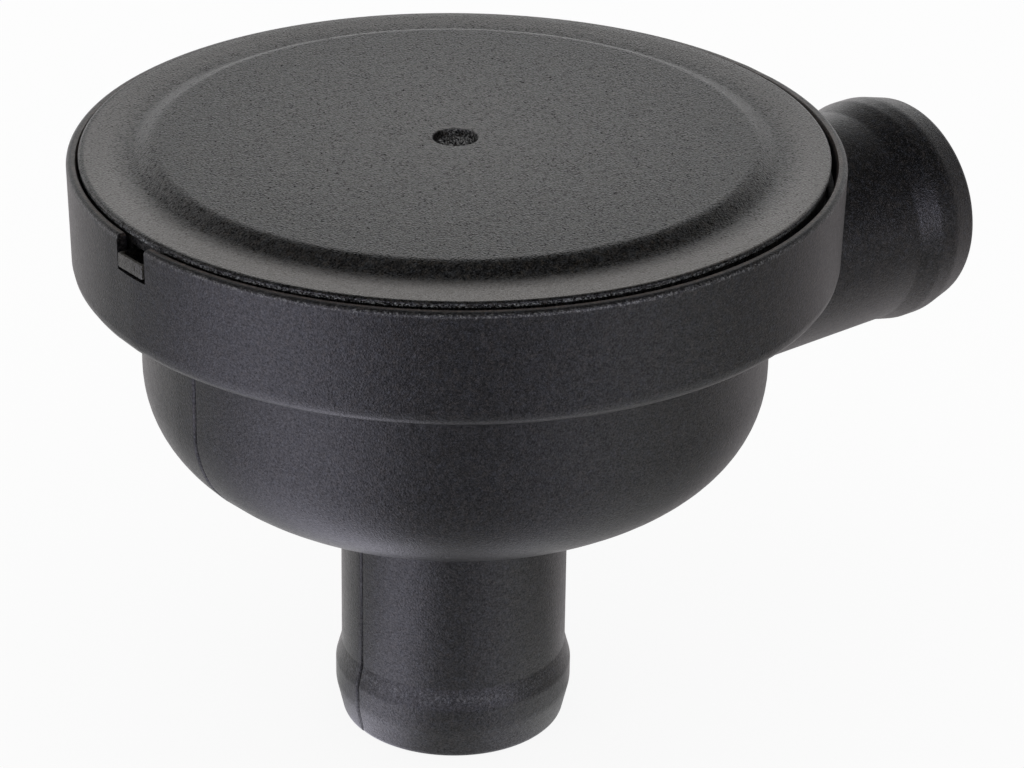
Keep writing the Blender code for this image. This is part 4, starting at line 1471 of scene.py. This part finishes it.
@dataclass
class Studio:
    """Plain pale floor, soft surroundings and the camera at the photograph's angle.

    The stops say what the black plastic mirrors. Each is a place and a level, and those round the main
    axis are (angle from the camera's side in degrees, positive to its right, level, lean): a lean of 1
    is the full cool tint, and -1 the full warm one.
    """

    azimuth_deg: float = -38.9
    elevation_deg: float = 26.065
    roll_deg: float = -0.89
    focal_px: float = 3850.954
    distance: float = 417.55
    axis_point_z: float = 30.495
    aim_right: float = 6.181
    aim_down: float = -8.028
    floor_half: float = 2500.0
    floor_z: float = -0.02
    floor_shade: str = "efefef"
    floor_white: float = 0.9
    floor_gloss: float = 0.9
    light_level: float = 0.95
    camera_side_deg: float = -128.9
    cool_tint: tuple = (0.85, 0.83, 1.0)
    warm_tint: tuple = (1.06, 0.98, 1.0)
    sky_stops: tuple = ((0.0, 1.6), (0.2, 1.3), (0.33, 0.82), (0.4, 0.58), (0.5, 0.35), (0.7, 0.15),
                        (1.0, 0.07))
    strip_heights: tuple = ((0.0, 1.0), (0.12, 1.0), (0.26, 0.0))
    strip_stops: tuple = (
        (-180, 0.0, 0.0), (-72, 0.0, 0.0), (-60, 1.8, 1.0), (-20, 1.8, 1.0), (0, 1.4, 1.0), (30, 1.2, 1.0),
        (42, 2.6, 1.0), (54, 2.6, 1.0), (62, 0.0, 0.0), (180, 0.0, 0.0))
    floor_stops: tuple = (
        (-180, 1.3, -0.8), (-168, 0.75, -0.8), (-150, 0.7, -0.8), (-130, 0.72, -0.6), (-115, 0.56, -0.2),
        (-104, 0.46, 0.0), (-96, 0.34, 0.2), (-86, 0.34, 0.6), (-76, 0.66, 0.9), (-66, 1.26, 1.0),
        (-55, 1.75, 1.0), (-42, 1.65, 1.0), (-32, 1.4, 1.0), (-22, 0.62, 1.0), (-10, 0.15, 1.0),
        (5, 0.11, 1.0), (14, 0.17, 1.0), (22, 0.36, 1.0), (32, 0.5, 0.8), (48, 0.54, 0.4), (64, 0.43, 0.0),
        (81, 0.24, -0.3), (100, 0.12, -0.7), (110, 0.4, -1.0), (130, 0.44, -1.0), (150, 0.26, -1.0),
        (168, 0.6, -1.0), (180, 1.3, -0.8))
    wall_stops: tuple = (
        (-180, 1.0, 0.0), (-166, 0.86, 0.0), (-110, 0.8, -0.5), (-60, 0.7, 1.0), (-30, 0.4, 1.0),
        (0, 0.3, 1.0), (38, 0.3, 1.0), (45, 1.2, 1.0), (53, 1.2, 1.0), (60, 0.12, 0.0), (95, 0.08, -0.5),
        (128, 0.26, -0.5), (166, 0.86, 0.0), (180, 1.0, 0.0))
    glow_stops: tuple = ((0.0, 0.8), (18.0, 0.5), (30.0, 0.32), (45.0, 0.2), (60.0, 0.18), (95.0, 0.2),
                         (115.0, 0.08), (135.0, 0.02), (150.0, 0.0))

    def build_camera(self) -> None:
        """Place the camera: it looks at the aim point, turned by azimuth, elevation and roll."""
        turn, tilt, roll = (math.radians(a) for a in (self.azimuth_deg, self.elevation_deg, self.roll_deg))
        ahead = np.array([-math.sin(turn) * math.cos(tilt), math.cos(turn) * math.cos(tilt), -math.sin(tilt)])
        level = np.array([math.cos(turn), math.sin(turn), 0.0])
        below = np.cross(ahead, level)
        right = math.cos(roll) * level + math.sin(roll) * below
        down = -math.sin(roll) * level + math.cos(roll) * below
        aim = np.array([0.0, 0.0, self.axis_point_z]) + self.aim_right * right + self.aim_down * down
        place = (aim - self.distance * ahead) * METRES
        data = bpy.data.cameras.new("studio_camera")
        data.sensor_width = SENSOR_WIDTH
        data.lens = self.focal_px * SENSOR_WIDTH / IMAGE_WIDTH_PX
        data.clip_start, data.clip_end = 0.01, 20.0
        camera = bpy.data.objects.new("studio_camera", data)
        bpy.context.scene.collection.objects.link(camera)
        rows = np.eye(4)
        rows[:3, 0], rows[:3, 1], rows[:3, 2], rows[:3, 3] = right, -down, -ahead, place
        camera.matrix_world = Matrix(rows.tolist())
        bpy.context.scene.camera = camera

    def around(self, tree: bpy.types.NodeTree, place: Socket, stops: tuple) -> Socket:
        """Give a colour that depends on the direction round the main axis.

        Formula: the angle from the camera's side, as a share of a full turn, read from a ramp.

        Args:
            tree: the node tree.
            place: a point or direction.
            stops: the ramp, as (angle, level, lean).

        Returns:
            The colour.
        """
        tints = [self.cool_tint if lean > 0 else self.warm_tint for _, _, lean in stops]
        ramp = [(0.5 + angle / 360, tuple(level * (1 + abs(lean) * (channel - 1)) for channel in tint))
                for (angle, level, lean), tint in zip(stops, tints)]
        turned = add_node(tree, "Mapping", {"Rotation": (0.0, 0.0, math.radians(-self.camera_side_deg))},
                          {"Vector": place})
        share = add_node(tree, "TexGradient", {"gradient_type": "RADIAL"}, {"Vector": turned}, "Fac")
        return add_node(tree, "ValToRGB", {"stops": ramp}, {"Fac": share})

    def build_floor(self) -> None:
        """Lay the floor: white paper that keeps the object's shadow, and is not seen from below."""
        surface = Surface()
        corners = self.floor_half * np.array([(-1.0, -1.0), (1.0, -1.0), (1.0, 1.0), (-1.0, 1.0)])
        surface.add_points(np.column_stack([corners, np.full(4, self.floor_z)]))
        surface.faces.append([0, 1, 2, 3])
        floor = add_object("studio_floor", surface)
        material, tree = new_material("white_paper")
        place = add_node(tree, "TexCoord", output="Object")
        paper = add_node(tree, "BsdfDiffuse", {"Color": linear(self.floor_shade)})
        white = add_node(tree, "Emission", {"Strength": 1.0})
        reach = self.glow_stops[-1][0]
        distance = add_node(tree, "VectorMath", {"operation": "LENGTH"}, {0: place}, "Value")
        distance = add_node(tree, "Math", {"operation": "DIVIDE", 1: reach * METRES}, {0: distance})
        glow = add_node(tree, "ValToRGB", {"stops": grey_stops(self.glow_stops, reach)}, {"Fac": distance})
        levels = add_node(tree, "Mix", {"data_type": "RGBA", "blend_type": "ADD", 0: 1.0},
                          {6: self.around(tree, place, self.floor_stops), 7: glow}, 2)
        mirrored = add_node(tree, "Emission", {"Strength": 1.0}, {"Color": levels})
        shown = paper
        for ray, share, source in (("Is Camera Ray", self.floor_white, white),
                                   ("Is Glossy Ray", self.floor_gloss, mirrored)):
            amount = add_node(tree, "LightPath", output=ray)
            amount = add_node(tree, "Math", {"operation": "MULTIPLY", 1: share}, {0: amount})
            shown = add_node(tree, "MixShader", None, {0: amount, 1: shown, 2: source})
        under = add_node(tree, "NewGeometry", output="Backfacing")
        clear = add_node(tree, "BsdfTransparent")
        both = add_node(tree, "MixShader", None, {0: under, 1: shown, 2: clear})
        add_node(tree, "OutputMaterial", None, {"Surface": both})
        floor.data.materials.append(material)

    def build_surroundings(self) -> None:
        """Light the scene from a plain white surround, and show white to the camera.

        What is mirrored is a surround that darkens overhead, with a bright low strip in front.
        """
        world = bpy.data.worlds.new("white_surround")
        bpy.context.scene.world = world
        world.use_nodes = True
        tree = world.node_tree
        tree.nodes.clear()
        direction = add_node(tree, "TexCoord", output="Generated")
        height = add_node(tree, "SeparateXYZ", None, {0: direction}, "Z")
        layers = []
        for heights, stops in ((self.sky_stops, self.wall_stops), (self.strip_heights, self.strip_stops)):
            upward = add_node(tree, "ValToRGB", {"stops": grey_stops(heights)}, {"Fac": height})
            layers.append(add_node(tree, "Mix", {"data_type": "RGBA", "blend_type": "MULTIPLY", 0: 1.0},
                                   {6: upward, 7: self.around(tree, direction, stops)}, 2))
        surround = add_node(tree, "Mix", {"data_type": "RGBA", "blend_type": "ADD", 0: 1.0},
                            {6: layers[0], 7: layers[1]}, 2)
        shown = add_node(tree, "Background", {"Color": (1, 1, 1, 1), "Strength": self.light_level})
        mirrored = add_node(tree, "Background", {"Strength": 1.0}, {"Color": surround})
        white = add_node(tree, "Background", {"Color": (1, 1, 1, 1), "Strength": 1.0})
        for ray, source in (("Is Glossy Ray", mirrored), ("Is Camera Ray", white)):
            amount = add_node(tree, "LightPath", output=ray)
            shown = add_node(tree, "MixShader", None, {0: amount, 1: shown, 2: source})
        add_node(tree, "OutputWorld", None, {"Surface": shown})

    def build(self) -> None:
        """Set up camera, floor, surroundings and the plain view transform."""
        self.build_camera()
        self.build_floor()
        self.build_surroundings()
        bpy.context.scene.view_settings.view_transform = "Standard"


def main() -> None:
    """Load the frame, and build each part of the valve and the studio."""
    logging.basicConfig(level=logging.INFO, format="%(message)s")
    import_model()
    ValveBody().build()
    Lid().build()
    DiaphragmStack().build()
    SpringPack().build()
    Studio().build()


if __name__ == "__main__":
    main()
